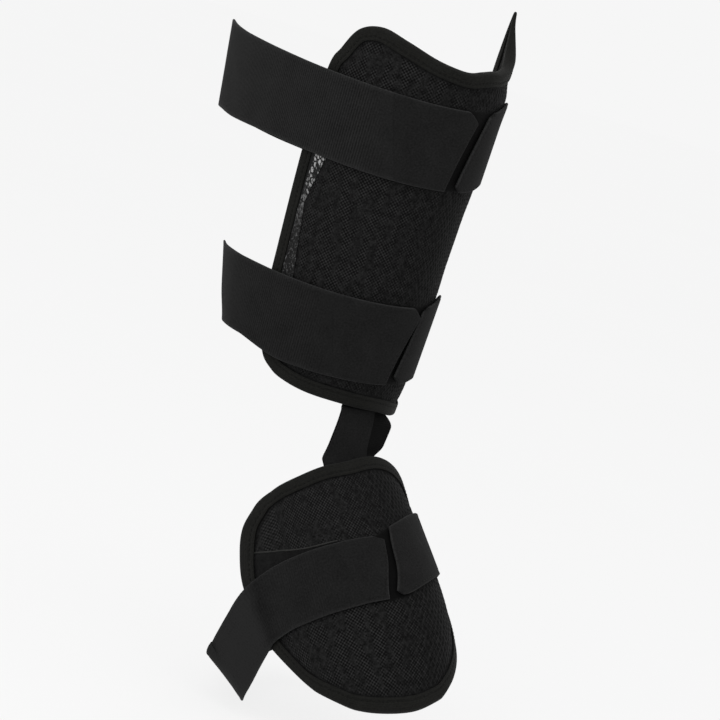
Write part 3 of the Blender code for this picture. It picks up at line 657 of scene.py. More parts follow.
# %% Mesh tool
def add_piece(name, points, faces, material, on_cloth, crease=50.0, shares=None):
    """A mesh object from points, faces and each point's place on the cloth. Edges bent by more than `crease`
    degrees stay sharp. `shares` are named values from 0 to 1 at the points, which the finishes read."""
    mesh = bpy.data.meshes.new(name)
    mesh.from_pydata(np.asarray(points).reshape(-1, 3).tolist(), [], faces)
    shape = bmesh.new()
    shape.from_mesh(mesh)
    bmesh.ops.recalc_face_normals(shape, faces=shape.faces)
    shape.to_mesh(mesh)
    shape.free()
    corner_points = np.empty(len(mesh.loops), dtype=np.int32)
    mesh.loops.foreach_get("vertex_index", corner_points)
    layer = mesh.uv_layers.new(name="on_cloth")
    layer.uv.foreach_set("vector", np.asarray(on_cloth, np.float32).reshape(-1, 2)[corner_points].ravel())
    for share_name, values in (shares or {}).items():
        values = np.broadcast_to(values, np.shape(points)[:-1]).astype(np.float32).ravel()
        mesh.attributes.new(share_name, "FLOAT", "POINT").data.foreach_set("value", values)
    mesh.shade_smooth()
    mesh.set_sharp_from_angle(angle=math.radians(crease))
    mesh.materials.append(material)
    piece = bpy.data.objects.new(name, mesh)
    bpy.context.scene.collection.objects.link(piece)
    print(name, len(mesh.vertices), "points,", len(mesh.polygons), "faces")
    return piece


def grid_faces(rows, columns, wrap_rows=False, wrap_columns=False):
    """The four-sided faces of a grid of numbered points, as an array."""
    row = np.arange(rows if wrap_rows else rows - 1)[:, None]
    column = np.arange(columns if wrap_columns else columns - 1)[None]
    below, right = (row + 1) % rows, (column + 1) % columns
    lines = np.stack(np.broadcast_arrays(row, row, below, below), axis=-1) * columns
    return (lines + np.stack([column, right, right, column], axis=-1)).reshape(-1, 4)


def rim_of(cells, count):
    """The directed edges that no second cell shares, of cells over `count` points: an edge is inside when its
    reverse is there too."""
    edges = np.concatenate([cells[:, [k, (k + 1) % 4]] for k in range(4)])
    return edges[~np.isin(edges @ (count, 1), edges @ (1, count))]


def closed_sheet(name, outer, inner, cells, material, on_cloth, shares=None):
    """A closed sheet between two lists of points over the same cells: outer faces, inner faces turned round,
    and a strip of faces between their rims."""
    count = len(outer)
    rim = rim_of(cells, count)
    faces = np.concatenate([cells, cells[:, ::-1] + count, np.column_stack([rim[:, ::-1], rim + count])])
    shares = {share_name: np.tile(values, 2) for share_name, values in (shares or {}).items()}
    points, on_cloth = np.concatenate([outer, inner]), np.tile(on_cloth, (2, 1))
    return add_piece(name, points, faces.tolist(), material, on_cloth, shares=shares)


# %% [markdown]
# ## A padded shell's shape
#
# The real shell is foam between two mesh cloths, sewn flat at its edge under the tape. It could be a few
# plates, but foam is full in the middle and pulled in at the stitching. So the shell is a flat square grid,
# cut to the outline, with an outer and an inner face whose heights depend on how far a place is from the
# edge. Grid points on the cut are moved onto the outline, so the rim is smooth, and the rim is closed.


# %% The flat grid and its distance from the edge
def flat_grid(loop, spacing):
    """A square grid of flat places that covers an outline: rows go along, columns go round."""
    low = np.floor(loop.min(axis=0) / spacing) - 1
    high = np.ceil(loop.max(axis=0) / spacing) + 1
    sides = [np.arange(low[axis], high[axis] + 1) * spacing for axis in (0, 1)]
    return np.stack(np.meshgrid(*sides), axis=-1)


def outline_of(rows, near_wrap, far_wrap, length, count):
    """An outline's closed curve in metres, and the inward direction at each of its points."""
    loop = smooth_loop(rows, count)
    loop = loop * np.column_stack([np.where(loop[:, 0] > 0, near_wrap, far_wrap), np.full(count, length)])
    run = unit(np.roll(loop, -1, axis=0) - np.roll(loop, 1, axis=0))
    area = np.sum(loop[:, 0] * np.roll(loop[:, 1], -1) - np.roll(loop[:, 0], -1) * loop[:, 1])
    return loop, np.column_stack([-run[:, 1], run[:, 0]]) * np.sign(area)


def depth_inside(flat, loop, inward):
    """How far inside the outline each place is, less than 0 outside, and the inward direction of the nearest
    point of the outline. The nearest point is found one grid row at a time."""
    nearest = np.stack([((row[:, None] - loop) ** 2).sum(axis=-1).argmin(axis=1) for row in flat])
    apart = flat - loop[nearest]
    side = (apart * inward[nearest]).sum(axis=-1)
    return np.copysign(np.linalg.norm(apart, axis=-1), side), side, inward[nearest]


# %% The closed pad
RIM = 1.5 * MM
PAD_FILL = 24 * MM


def pad_cells(flat, depth, side, inward):
    """The grid cells inside the rim, as corner numbers, which places are on the rim, and the flat places with
    those on the rim moved onto it."""
    cells = grid_faces(*depth.shape)
    cells = cells[(depth.ravel()[cells] > RIM).all(axis=1)]
    on_rim = np.zeros(depth.size, bool)
    on_rim[rim_of(cells, depth.size)[:, 0]] = True
    on_rim = on_rim.reshape(depth.shape)
    return cells, on_rim, flat + np.where(on_rim, RIM - side, 0)[..., None] * inward


def filling(depth):
    """How full the padding is: 0 under the tape, and from there 1 - (1 - t) cubed up to full."""
    share = np.clip((depth - TAPE_WIDTH - SEAT_GAP) / PAD_FILL, 0, 1)
    return 1 - (1 - share) ** 3


def face_rises(full, padding):
    """The rises of the two faces: a little sunk and thin where nothing fills them, and 0 and the whole
    padding below it where they are full."""
    return -EDGE_DIP * (1 - full), -EDGE_DIP - EDGE_PADDING + (EDGE_DIP + EDGE_PADDING - padding) * full


def closed_pad(name, surface, cells, flat, outer, inner, material, shares):
    """A closed shell between two grids of rises over the cells. `shares` are grids of named shares."""
    used, corners = np.unique(cells, return_inverse=True)
    places = flat.reshape(-1, 2)[used]
    faces = [surface(*places.T, rise.ravel()[used]) for rise in (outer, inner)]
    shares = {share_name: grid.ravel()[used] for share_name, grid in shares.items()}
    return closed_sheet(name, *faces, corners.reshape(cells.shape), material, places, shares)


# %% [markdown]
# ## How the foam swells
#
# Foam in a sewn cover swells where nothing holds it and stays flat under the tape. A cloth simulation finds
# that shape: a coarse copy of the pad is blown up a little while its rim and inner face are held. Only its
# swelling is kept, as a height over the flat cloth, and the fine pad takes it on. Where a strap presses, the
# swelling is held back.


# %% Swelling by simulation
SWELL_SPACING = 5 * MM
SWELL_STEPS = 20
SWELL_MOST = 1.2 * MM
PRESSED_TO = 0.5 * MM
SWELL_SETTINGS = {
    "quality": 8, "mass": 0.3, "tension_stiffness": 25, "compression_stiffness": 25, "bending_stiffness": 2,
    "vertex_group_mass": "held", "use_pressure": True, "uniform_pressure_force": 4,
}


def swelling(loop, inward, surface, padding):
    """The pad's swelling over a coarse flat grid, from 0 to 1: how far Blender's cloth, under pressure and
    held at the rim and inside, moves out along the surface's normals, as a share of the most."""
    flat = flat_grid(loop, SWELL_SPACING)
    depth, side, towards = depth_inside(flat, loop, inward)
    cells, on_rim, moved = pad_cells(flat, depth, side, towards)
    rises = face_rises(filling(depth), padding)
    pad = closed_pad("swelling_trial", surface, cells, moved, *rises, shin_mesh, {})
    used = np.unique(cells)
    tape_covers = on_rim | (depth < TAPE_WIDTH)
    held = np.concatenate([np.flatnonzero(tape_covers.ravel()[used]), np.arange(len(used)) + len(used)])
    pad.vertex_groups.new(name="held").add(held.tolist(), 1.0, "REPLACE")
    cloth = pad.modifiers.new("Cloth", "CLOTH")
    for setting, value in SWELL_SETTINGS.items():
        setattr(cloth.settings, setting, value)
    cloth.settings.effector_weights.gravity = 0
    cloth.collision_settings.use_collision = False
    for step in range(1, SWELL_STEPS + 1):
        bpy.context.scene.frame_set(step)
    blown = pad.evaluated_get(bpy.context.evaluated_depsgraph_get()).to_mesh()
    after = np.empty(len(blown.vertices) * 3)
    blown.vertices.foreach_get("co", after)
    before = np.empty(len(pad.data.vertices) * 3)
    pad.data.vertices.foreach_get("co", before)
    shift = (after - before).reshape(-1, 3)[: len(used)]
    places = moved.reshape(-1, 2)[used]
    normal = surface(*places.T, MM) - surface(*places.T, 0.0)
    swell = np.zeros(depth.size)
    swell[used] = ((shift * normal).sum(axis=1) / MM).clip(0)
    bpy.data.objects.remove(pad, do_unlink=True)
    bpy.context.scene.frame_set(1)
    print("swelling: %.1f mm at most, before it is scaled" % (swell.max() / MM))
    return flat, swell.reshape(depth.shape) / swell.max()


def finer(coarse_flat, values, flat):
    """Values on a coarse grid at a finer grid's places: straight lines along one way and then the other,
    then two passes of a running mean, so no coarse cell shows."""
    by_row = np.stack([np.interp(flat[0, :, 0], coarse_flat[0, :, 0], row) for row in values])
    fine = np.stack([np.interp(flat[:, 0, 1], coarse_flat[:, 0, 1], column) for column in by_row.T], axis=1)
    reach = range(-2, 3)
    for _ in range(2):
        fine = sum(np.roll(fine, turn, axis=0) for turn in reach) / len(reach)
        fine = sum(np.roll(fine, turn, axis=1) for turn in reach) / len(reach)
    return fine


# %% [markdown]
# ## The straps' paths
#
# A strap is a long rectangle that is wrapped like any other cloth, but its middle line climbs and dips on
# its way round. On the leg its width stays upright, and its back leans with the calf. On the foot its width
# is square to its own run, which is solved from the surface's two slopes. The pads need these paths too,
# because they are pressed in under the straps.


# %% Strap paths
TIP_REACH = 14 * MM
BACK_EASES = (1.03, 1.25)
FAR_CORNER_AT = -42 * MM
FAR_CORNER_REACH = 16 * MM
STAND_OFF_FROM = 0.45


def wrapped(around, half):
    """A place round a loop, brought back to between minus and plus half its girth."""
    return (around + half) % (2 * half) - half


def leg_path(loop, height, back_depth, back_lean, tip, hem, far_corner):
    """How a place round a leg loop, across it and out of it becomes a point. The upper edge lifts at the back
    bend by a bell curve: `tip` is its height and its share of the way round. The lower edge moves by an even
    S towards the back: `hem` is how far, and the shares of the way round where it starts and is full.
    `far_corner` is how far the upper edge climbs and stands off on the far side, by a bell curve too."""
    half = half_girth(back_depth)

    def place_on(around, across, rise):
        around = wrapped(around, half)
        turn, share = around / half, across / (STRAP_WIDTH / 2)
        middle = height + STRAP_WIDTH * smooth_table(loop, turn)
        to_top, to_bottom = smooth_step(0, 1, share), smooth_step(0, 1, -share)
        lift = tip[0] * bell((turn - tip[1]) * half, 0, TIP_REACH) * to_top
        at_back = smooth_step(hem[1], hem[2], turn % 2) * (1 - smooth_step(*BACK_EASES, turn % 2))
        corner = bell(around, FAR_CORNER_AT, FAR_CORNER_REACH)
        lift = lift + hem[0] * at_back * to_bottom + far_corner[0] * corner * to_top
        rise = rise + far_corner[1] * corner * smooth_step(STAND_OFF_FROM, 1, share)
        return leg_point(around, middle + across + lift, rise, back_depth, back_lean * across)

    return place_on


def foot_along(around):
    """How far along the foot the foot loop's middle line is."""
    return FOOT_LENGTH * smooth_table(FOOT_LOOP, wrapped(around, FOOT_HALF_GIRTH) / FOOT_HALF_GIRTH)


def foot_flat(around, across):
    """Where a place round the foot loop and across it lies on the foot's own flat cloth. The direction across
    is the cross product of the loop's run and the surface's normal, written in the surface's two slopes by
    solving a 2 by 2 system."""
    step = FOOT_LENGTH / 200
    around = np.broadcast_to(around, np.broadcast_shapes(np.shape(around), np.shape(across)))
    here, along = wrapped(around, FOOT_HALF_GIRTH), foot_along(around)
    _, normal = foot_frame(here, along)
    ahead, back = (foot_point(wrapped(here + s, FOOT_HALF_GIRTH), along) for s in (step, -step))
    per_around = (ahead - back) / (2 * step)
    per_along = (foot_point(here, along + step) - foot_point(here, along - step)) / (2 * step)
    slope = (foot_along(around + step) - foot_along(around - step)) / (2 * step)
    width = unit(np.cross(per_around + slope[..., None] * per_along, normal))
    pairs = ((per_around, per_around), (per_around, per_along), (per_along, per_along))
    aa, ab, bb = ((one * other).sum(axis=-1) for one, other in pairs)
    wa, wb = (width * per_around).sum(axis=-1), (width * per_along).sum(axis=-1)
    size = aa * bb - ab * ab
    turn, climb = (wa * bb - wb * ab) / size, (wb * aa - wa * ab) / size
    return wrapped(here + across * turn, FOOT_HALF_GIRTH), along + across * climb


SOLE_FOLD = 0.76 * FOOT_HALF_GIRTH
UNDER_SOLE = ((-16 * MM, 12 * MM), (75 * MM, 120 * MM))
SOLE_NECKING = (7 * MM, 6 * MM)
REAR_WIDENING = 1 * MM
FOLD_BULGE = (2.5 * MM, -2 * MM, 13 * MM)
FOLD_LEAN = (0.35, 0.95, 0.6)
FOLD_CUT = (9 * MM, 36 * MM, 22 * MM)


def foot_path(around, across, rise):
    """How a place round the foot loop, across it and out of it becomes a point. Past the fold below the near
    wall the taut strap is narrower. It stands off at the fold, most at its rear edge, and cuts the
    corner of the sole behind it, both by bell curves of the way from the fold: height, middle and reach."""
    past_fold = around % (2 * FOOT_HALF_GIRTH) - SOLE_FOLD
    share = across / (FOOT_STRAP_WIDTH / 2)
    under = smooth_step(*UNDER_SOLE[0], past_fold) * (1 - smooth_step(*UNDER_SOLE[1], past_fold))
    across = across + SOLE_NECKING[0] * under * smooth_step(0, 1, -share)
    across = across - (SOLE_NECKING[1] * under - REAR_WIDENING) * smooth_step(0, 1, share)
    lean = FOLD_LEAN[0] + FOLD_LEAN[1] * share + FOLD_LEAN[2] * share**2
    rise = rise + FOLD_BULGE[0] * lean * bell(past_fold, *FOLD_BULGE[1:])
    rise = rise - FOLD_CUT[0] * bell(past_fold, *FOLD_CUT[1:])
    return foot_point(*foot_flat(around, across), rise)


# Painted light on the foot loop's webbing past the shell's near edge, and painted shade in the dip at that
# edge.
PAINTED_LIGHT_FROM, PAINTED_LIGHT_TO = FOOT_NEAR_WRAP - 8 * MM, FOOT_NEAR_WRAP + 4 * MM
PAINTED_DIP_SHADE = (0.4, 5 * MM)


def painted_light_past_shell(around, across):
    """How much light is painted on the foot loop's webbing: 0 on the shell, 1 where it runs past the shell's
    near edge, and a little under 0, as painted shade, in the soft dip at that edge."""
    here = foot_flat(around, across)[0]
    below = smooth_step(0.80 * FOOT_HALF_GIRTH, 0.95 * FOOT_HALF_GIRTH, here)
    painted_light_share = smooth_step(PAINTED_LIGHT_FROM, PAINTED_LIGHT_TO, here) * (1 - below)
    return painted_light_share - PAINTED_DIP_SHADE[0] * bell(here, PAINTED_LIGHT_FROM, PAINTED_DIP_SHADE[1])


upper_path = leg_path(
    UPPER_LOOP, UPPER_STRAP_HEIGHT, CALF_BACK_DEPTH, CALF_BACK_LEAN,
    tip=(2 * MM, 0.87), hem=(-3.7 * MM, 0.45, 0.80), far_corner=(2 * MM, 0.7 * MM),
)
lower_path = leg_path(
    LOWER_LOOP, LOWER_STRAP_HEIGHT, ANKLE_BACK_DEPTH, ANKLE_BACK_LEAN,
    tip=(2.5 * MM, 0.80), hem=(5.7 * MM, 0.36, 0.56), far_corner=(4.5 * MM, 0.0),
)
print("strap paths are ready")

# %% [markdown]
# ## The two padded shells
#
# Each shell takes its outline, the swelling, the press of the straps and the openings of its mesh. On the
# foot the mesh stops at a seam on the near side, and a smooth wedge of stretch cloth lies between that seam
# and the strap, so the shell can flex there.


# %% Where the straps press
PRESS_EDGE = (-1 * MM, 7 * MM)
SEAM_FROM = (44 * MM, 50 * MM)
FLEX_SEAM = [
    # round, along
    (0.0300, 0.0560), (0.0500, 0.0560), (0.0790, 0.0550), (0.1000, 0.0500), (0.1145, 0.0440),
    (0.1290, 0.0400),
]
WAIST_DEPTH = 0.7 * MM
WAIST_EASES = ((-38 * MM, -14 * MM), (-38 * MM, -16 * MM))
WAIST_FAR = (-5 * MM, 30 * MM)
ROLL_HEIGHT = 1.7 * MM
ROLL_AT = (103 * MM, 9 * MM)


def pressed_by(apart, half):
    """1 under a strap and 0 away from it, by how far a place is from the strap's middle line."""
    return 1 - smooth_step(half + PRESS_EDGE[0], half + PRESS_EDGE[1], np.abs(apart))


def shin_press(flat):
    """Where the two leg straps press on the shin."""
    around, up = flat[..., 0], flat[..., 1]
    pressed = []
    for loop, height, half in (
        (UPPER_LOOP, UPPER_STRAP_HEIGHT, CALF_HALF_GIRTH), (LOWER_LOOP, LOWER_STRAP_HEIGHT, ANKLE_HALF_GIRTH)
    ):
        middle = height + STRAP_WIDTH * smooth_table(loop, around / half)
        pressed.append(pressed_by(up - middle, STRAP_WIDTH / 2))
    return np.maximum(*pressed)


def foot_press(flat):
    """Where the foot strap presses: the distance from its middle line is the distance along the foot times
    the cosine of the line's slope."""
    around = flat[..., 0]
    slope = (foot_along(around + MM) - foot_along(around - MM)) / (2 * MM)
    return pressed_by((flat[..., 1] - foot_along(around)) / np.hypot(1, slope), FOOT_STRAP_WIDTH / 2)


def flex_share(flat):
    """1 on the smooth wedge between the flex seam and the strap on the near side, and 0 on the mesh."""
    around, along = flat[..., 0], flat[..., 1]
    past_seam = smooth_step(0.0, 1.0 * MM, along - smooth_table(FLEX_SEAM, around))
    before_strap = 1 - smooth_step(-4 * MM, 0.0, along - foot_along(around))
    return past_seam * smooth_step(*SEAM_FROM, around) * before_strap


def shin_waist(flat):
    """How far the shin's foam sinks on the far side: in between the two straps, as an even S each way, and
    less than 0 right above the upper strap, where a bell curve lets it bulge."""
    around, up = flat[..., 0], flat[..., 1]
    tall = smooth_step(*WAIST_EASES[0], up) * smooth_step(*WAIST_EASES[1], -up)
    return (WAIST_DEPTH * tall - ROLL_HEIGHT * bell(up, *ROLL_AT)) * smooth_step(*WAIST_FAR, -around)


def nowhere(flat):
    """0 at every flat place."""
    return np.zeros(flat.shape[:2])


# %% Make the pads
MESH_SPACING = 1.0 * MM
MESH_MARGIN = 2 * MM
OPENING_DEPTH = 0.45 * MM
# Where shade is painted on the mesh: near the parting of the tabs, where a strap covers the pad or nearly
# does.
PARTING_AT = 8 * MM
PARTING_REACH = (22 * MM, 38 * MM)
SHADED_FROM = 0.9


def padded_shell(name, cut, surface, padding, mesh, material, press, smooth_share, slack):
    """One shell: its flat grid, cut to the outline, raised by its filling and its swelling, and lowered at
    its openings and where it is slack. Between two tabs, and along the strap's edges beside them, the mesh
    is made plain, with its openings shut, and its colour is darkened as painted shade."""
    loop, inward = outline_of(*cut, 900)
    flat = flat_grid(loop, MESH_SPACING)
    depth, side, towards = depth_inside(flat, loop, inward)
    cells, _, moved = pad_cells(flat, depth, side, towards)
    full = filling(depth)
    swell = finer(*swelling(loop, inward, surface, padding), flat)
    pressed = press(flat)
    swell = swell * full * (SWELL_MOST + (PRESSED_TO - SWELL_MOST) * pressed) - slack(flat) * full
    # Painted shade between two tabs and at the strap's edges beside them: the mesh there is made plain, with
    # its openings shut, and its colour is darkened.
    by_parting = 1 - smooth_step(*PARTING_REACH, np.abs(flat[..., 0] - PARTING_AT))
    shaded = smooth_step(SHADED_FROM, 1, pressed) * by_parting
    inside_tape = smooth_step(TAPE_WIDTH, TAPE_WIDTH + MESH_MARGIN, depth)
    is_mesh = inside_tape * (1 - smooth_share(flat)) * (1 - shaded)
    openings = opening_depth(flat, mesh) * is_mesh * OPENING_DEPTH
    outer, inner = face_rises(full, padding)
    outer = outer + swell
    shares = {"is_mesh": is_mesh, "shaded": shaded}
    pad = closed_pad(name, surface, cells, moved, outer - openings, inner + openings, material, shares)
    return pad, (flat, outer)


shin_pad, shin_top = padded_shell(
    "shin_pad", SHIN_CUT, shin_point, SHIN_PADDING, SHIN_MESH, shin_mesh, shin_press, nowhere, shin_waist
)
foot_pad, foot_top = padded_shell(
    "foot_pad", FOOT_CUT, foot_point, FOOT_PADDING, FOOT_MESH, foot_mesh, foot_press, flex_share, nowhere
)
for pad, node in ((shin_pad, "shin_shell"), (foot_pad, "foot_shell")):
    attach(pad, "root")
    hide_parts(node)

# %% [markdown]
# ## The binding tapes
#
# The raw edge of each shell is wrapped in a folded tape. Its section is a U: flat on both faces and round
# over the edge. Carried round the outline, it becomes the tape, and a shallow groove under its stitches and
# a slow unevenness keep it from looking moulded.


# %% Tape section carried round the outline
TAPE_STATIONS = 900
STITCH_INSET = 5.4 * MM
TAPE_TOP = -EDGE_DIP + FIT_GAP + TAPE_THICKNESS
TAPE_BOTTOM = -EDGE_DIP - EDGE_PADDING - FIT_GAP - TAPE_THICKNESS
TAPE_BEND = 2.1 * MM
TAPE_EDGE = 0.45
GROOVE = (0.30 * MM, STITCH_INSET, 0.5 * MM)
UNEVENNESS = (0.10 * MM, 4.5 * MM, 17 * MM)
NARROWEST = 0.28
NARROW_OVER = (3 * MM, 42 * MM)


def tape_section():
    """The closed section of the tape as (inset, rise): a middle line of two flats and a half ellipse, set
    off by half the thickness on both sides along its normals, and thinner at its two edges."""
    near, far = TAPE_TOP - TAPE_THICKNESS / 2, TAPE_BOTTOM + TAPE_THICKNESS / 2
    turn = np.linspace(math.pi / 2, 3 * math.pi / 2, 13)
    bend = np.column_stack([
        TAPE_THICKNESS + TAPE_BEND * np.cos(turn), (near + far) / 2 + (near - far) / 2 * np.sin(turn)
    ])
    run = np.linspace(TAPE_WIDTH, TAPE_THICKNESS, 9)[:-1]
    flats = [np.column_stack([way, np.full(8, rise)]) for way, rise in ((run, near), (run[::-1], far))]
    line = np.concatenate([flats[0], bend, flats[1]])
    slope = unit(np.gradient(line, axis=0))
    thin = np.ones((len(line), 1))
    thin[[0, -1]] = TAPE_EDGE
    off = np.column_stack([slope[:, 1], -slope[:, 0]]) * TAPE_THICKNESS / 2 * thin
    outer, inner = line + off, line - off
    if outer[10, 0] > inner[10, 0]:
        outer, inner = inner, outer
    return outer, inner


def narrowing(loop):
    """How much of its full inset the tape has at each point of an outline: less near the lobe's tip, where
    two stretches of tape meet, by an even S of the distance from the tip."""
    apart = np.hypot(*(loop - LOBE_TIP).T)
    return NARROWEST + (1 - NARROWEST) * smooth_step(*NARROW_OVER, apart)


def edge_tape(name, cut, surface, material):
    """The tape, as the section's points over the outline's stations, and the outline."""
    loop, inward = outline_of(*cut, TAPE_STATIONS)
    outer, inner = tape_section()
    ring = np.concatenate([outer, inner[::-1]])
    run = np.cumsum(np.linalg.norm(loop - np.roll(loop, 1, axis=0), axis=1))
    inset, rise = ring.T[:, :, None]
    is_outer = (np.arange(len(ring)) < len(outer))[:, None]
    groove = GROOVE[0] * bell(inset, *GROOVE[1:]) * is_outer
    height, *lengths = UNEVENNESS
    wave = height * np.sin(run / lengths[0]) * np.sin(run / lengths[1]) * smooth_step(0, TAPE_WIDTH, inset)
    rise = rise + (wave - groove) * np.sign(rise + EDGE_DIP + EDGE_PADDING / 2)
    flat = loop[None] + (inset * narrowing(loop))[..., None] * inward[None]
    points = surface(*np.moveaxis(flat, -1, 0), rise)
    on_cloth = paired(run[None], run_along(ring)[:, None])
    faces = grid_faces(len(ring), TAPE_STATIONS, wrap_rows=True, wrap_columns=True)
    return add_piece(name, points, faces.tolist(), material, on_cloth), (loop, inward)


# %% [markdown]
# ## Stitches
#
# A line of stitches is many short threads, each going down into the cloth at both ends. Each one here is a
# small bent capsule with a few dozen faces, and all the stitches of a seam are one piece, because nobody sews
# them one by one.

# %% Stitch tool
STITCH_LENGTH = 2.3 * MM
STITCH_PITCH = 3.3 * MM
STITCH_RADIUS = 0.22 * MM
STITCH_RINGS = 5
STITCH_SIDES = 6


def stitches(name, path, normal, material):
    """A seam of thread along a path of points. Each stitch is a tube of a few sides and rings whose radius is
    a half circle's and whose middle stands out of the cloth by a parabola."""
    run = run_along(path)
    count = int((run[-1] - STITCH_LENGTH) / STITCH_PITCH) + 1
    start = (run[-1] - (count - 1) * STITCH_PITCH) / 2
    t = np.linspace(-1, 1, STITCH_RINGS)
    at = start + np.arange(count)[:, None] * STITCH_PITCH + t * STITCH_LENGTH / 2
    middle, out = (
        np.stack([np.interp(at, run, column) for column in rows.T], axis=-1) for rows in (path, normal)
    )
    out = unit(out)
    beside = np.cross(unit(np.gradient(middle, axis=1)), out)[:, :, None]
    middle = middle + out * ((1 - t**2) * STITCH_RADIUS)[None, :, None]
    radius = STITCH_RADIUS * np.sqrt(1 - (0.92 * t) ** 2)[None, :, None, None]
    angle = np.linspace(0, 2 * math.pi, STITCH_SIDES, endpoint=False)[None, None, :, None]
    rings = middle[:, :, None] + radius * (np.cos(angle) * beside + np.sin(angle) * out[:, :, None])
    size = STITCH_RINGS * STITCH_SIDES
    first = np.arange(count)[:, None, None] * size
    tube = grid_faces(STITCH_RINGS, STITCH_SIDES, wrap_columns=True)[None] + first
    ends = np.stack([np.arange(STITCH_SIDES), np.arange(size - STITCH_SIDES, size)])[None] + first
    faces = tube.reshape(-1, 4).tolist() + ends.reshape(-1, STITCH_SIDES).tolist()
    on_cloth = paired(at[:, :, None], angle[..., 0] * STITCH_RADIUS)
    return add_piece(name, rings, faces, material, on_cloth)


def seam_on(surface, flat, rise):
    """A seam's points and normals, from its flat places."""
    points = surface(*flat.T, rise)
    return points, surface(*flat.T, rise + MM) - points


# %% Make the tapes and their stitches
tapes = (
    # name, cut, surface, CAD node
    ("shin_tape", SHIN_CUT, shin_point, "shin_edge_tape"),
    ("foot_tape", FOOT_CUT, foot_point, "foot_edge_tape"),
)
for name, cut, surface, node in tapes:
    tape, (loop, inward) = edge_tape(name, cut, surface, tape_cloth)
    line = loop + inward * STITCH_INSET * narrowing(loop)[:, None]
    line = np.concatenate([line, line[:1]])
    thread = stitches(name + "_stitches", *seam_on(surface, line, TAPE_TOP - 0.18 * MM), thread_cloth)
    for piece in (tape, thread):
        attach(piece, "root")
    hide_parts(node)

# %% [markdown]
# ## The printed strip and the flex seam
#
# A thin printed cloth lies beside the near edge's tape and narrows to a few millimetres between the two
# straps. It is a grid between two edges, laid on the swollen pad rather than on the bare surface, and closed
# by a second grid below. The flex seam on the foot is a fine raised cord, paler than the mesh.


# %% Sheets from a grid
def top_rise(top, around, along):
    """The pad's own rise at flat places, read from its grid by straight lines both ways."""
    flat, rise = top
    column = np.interp(around, flat[0, :, 0], np.arange(flat.shape[1]))
    row = np.interp(along, flat[:, 0, 1], np.arange(flat.shape[0]))
    c, r = np.clip(column.astype(int), 0, flat.shape[1] - 2), np.clip(row.astype(int), 0, flat.shape[0] - 2)
    s, t = column - c, row - r
    upper = rise[r, c] * (1 - s) + rise[r, c + 1] * s
    return upper * (1 - t) + (rise[r + 1, c] * (1 - s) + rise[r + 1, c + 1] * s) * t


def slab(name, outer, inner, material, on_cloth):
    """A closed sheet between two grids of points of the same shape."""
    cells = grid_faces(*outer.shape[:2])
    outer, inner = (grid.reshape(-1, 3) for grid in (outer, inner))
    return closed_sheet(name, outer, inner, cells, material, on_cloth.reshape(-1, 2))


# %% Make the printed strip
STRIP_LEVELS = (-70 * MM, 2 * MM, 60 * MM)
STRIP_WIDTHS = (14 * MM, 4.5 * MM, 19 * MM)
STRIP_RISES = (PANEL_THICKNESS * 0.8, -0.1 * MM)

up = np.linspace(STRIP_LEVELS[0], STRIP_LEVELS[-1], 131)[:, None]
outline, _ = outline_of(*SHIN_CUT, 900)
near_side = outline[outline[:, 0] > SHIN_NEAR_WRAP / 2]
near_side = near_side[np.argsort(near_side[:, 1])]
strip_edge = np.interp(up, near_side[:, 1], near_side[:, 0]) - TAPE_WIDTH - FIT_GAP
strip_width = np.interp(up, STRIP_LEVELS, STRIP_WIDTHS)
from_edge = strip_width * np.linspace(1, 0, 15)
around = strip_edge - from_edge
up = np.broadcast_to(up, around.shape)
lying = top_rise(shin_top, around, up) + 0.05 * MM
strip_faces = (leg_point(around, up, lying + rise) for rise in STRIP_RISES)
strip = slab("side_strip", *strip_faces, print_cloth, paired(from_edge, up))
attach(strip, "root")
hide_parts("side_panel")

# %% Make the flex seam
SEAM_WIDTH = 1.1 * MM
SEAM_HEIGHT = 0.5 * MM
SEAM_BED = -0.3 * MM
SEAM_SPAN = (52 * MM, 118.5 * MM)

around = np.linspace(*SEAM_SPAN, 160)[:, None]
along = smooth_table(FLEX_SEAM, around) + SEAM_WIDTH * np.linspace(-0.5, 0.5, 7)
around = np.broadcast_to(around, along.shape)
lying = top_rise(foot_top, around, along)
crown = SEAM_HEIGHT * np.sqrt(1 - np.linspace(-0.98, 0.98, 7) ** 2)
seam_faces = (foot_point(around, along, lying + rise) for rise in (crown, SEAM_BED))
flex_seam = slab("flex_seam", *seam_faces, cord_cloth, paired(around, along))
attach(flex_seam, "root")

# %% [markdown]
# ## The ankle link
#
# A flat elastic joins the two shells. It lies inside the shin shell, crosses the gap below the hem and goes
# in behind the foot shell's upper edge, with a lighter tab in front of it. Its middle stretch is a cubic
# between the two surfaces that starts and ends along the foot, and it lies flat where nothing curves it.

# %% The link's surface
LINK_AT_HEM = (-35 * MM, 27.5 * MM)
LINK_AT_FOOT = (-17 * MM, 43 * MM)
LINK_TAB_FROM = (0.42, 0.24)
LINK_TAB_THICKNESS = 1.2 * MM
LINK_TUCK = 30 * MM
LINK_TURN = 0.16
LINK_PULL = 0.38
LINK_FLAT = ((0.04, 0.32), (0.06, 0.40))
LINK_ROWS = (16, 40)


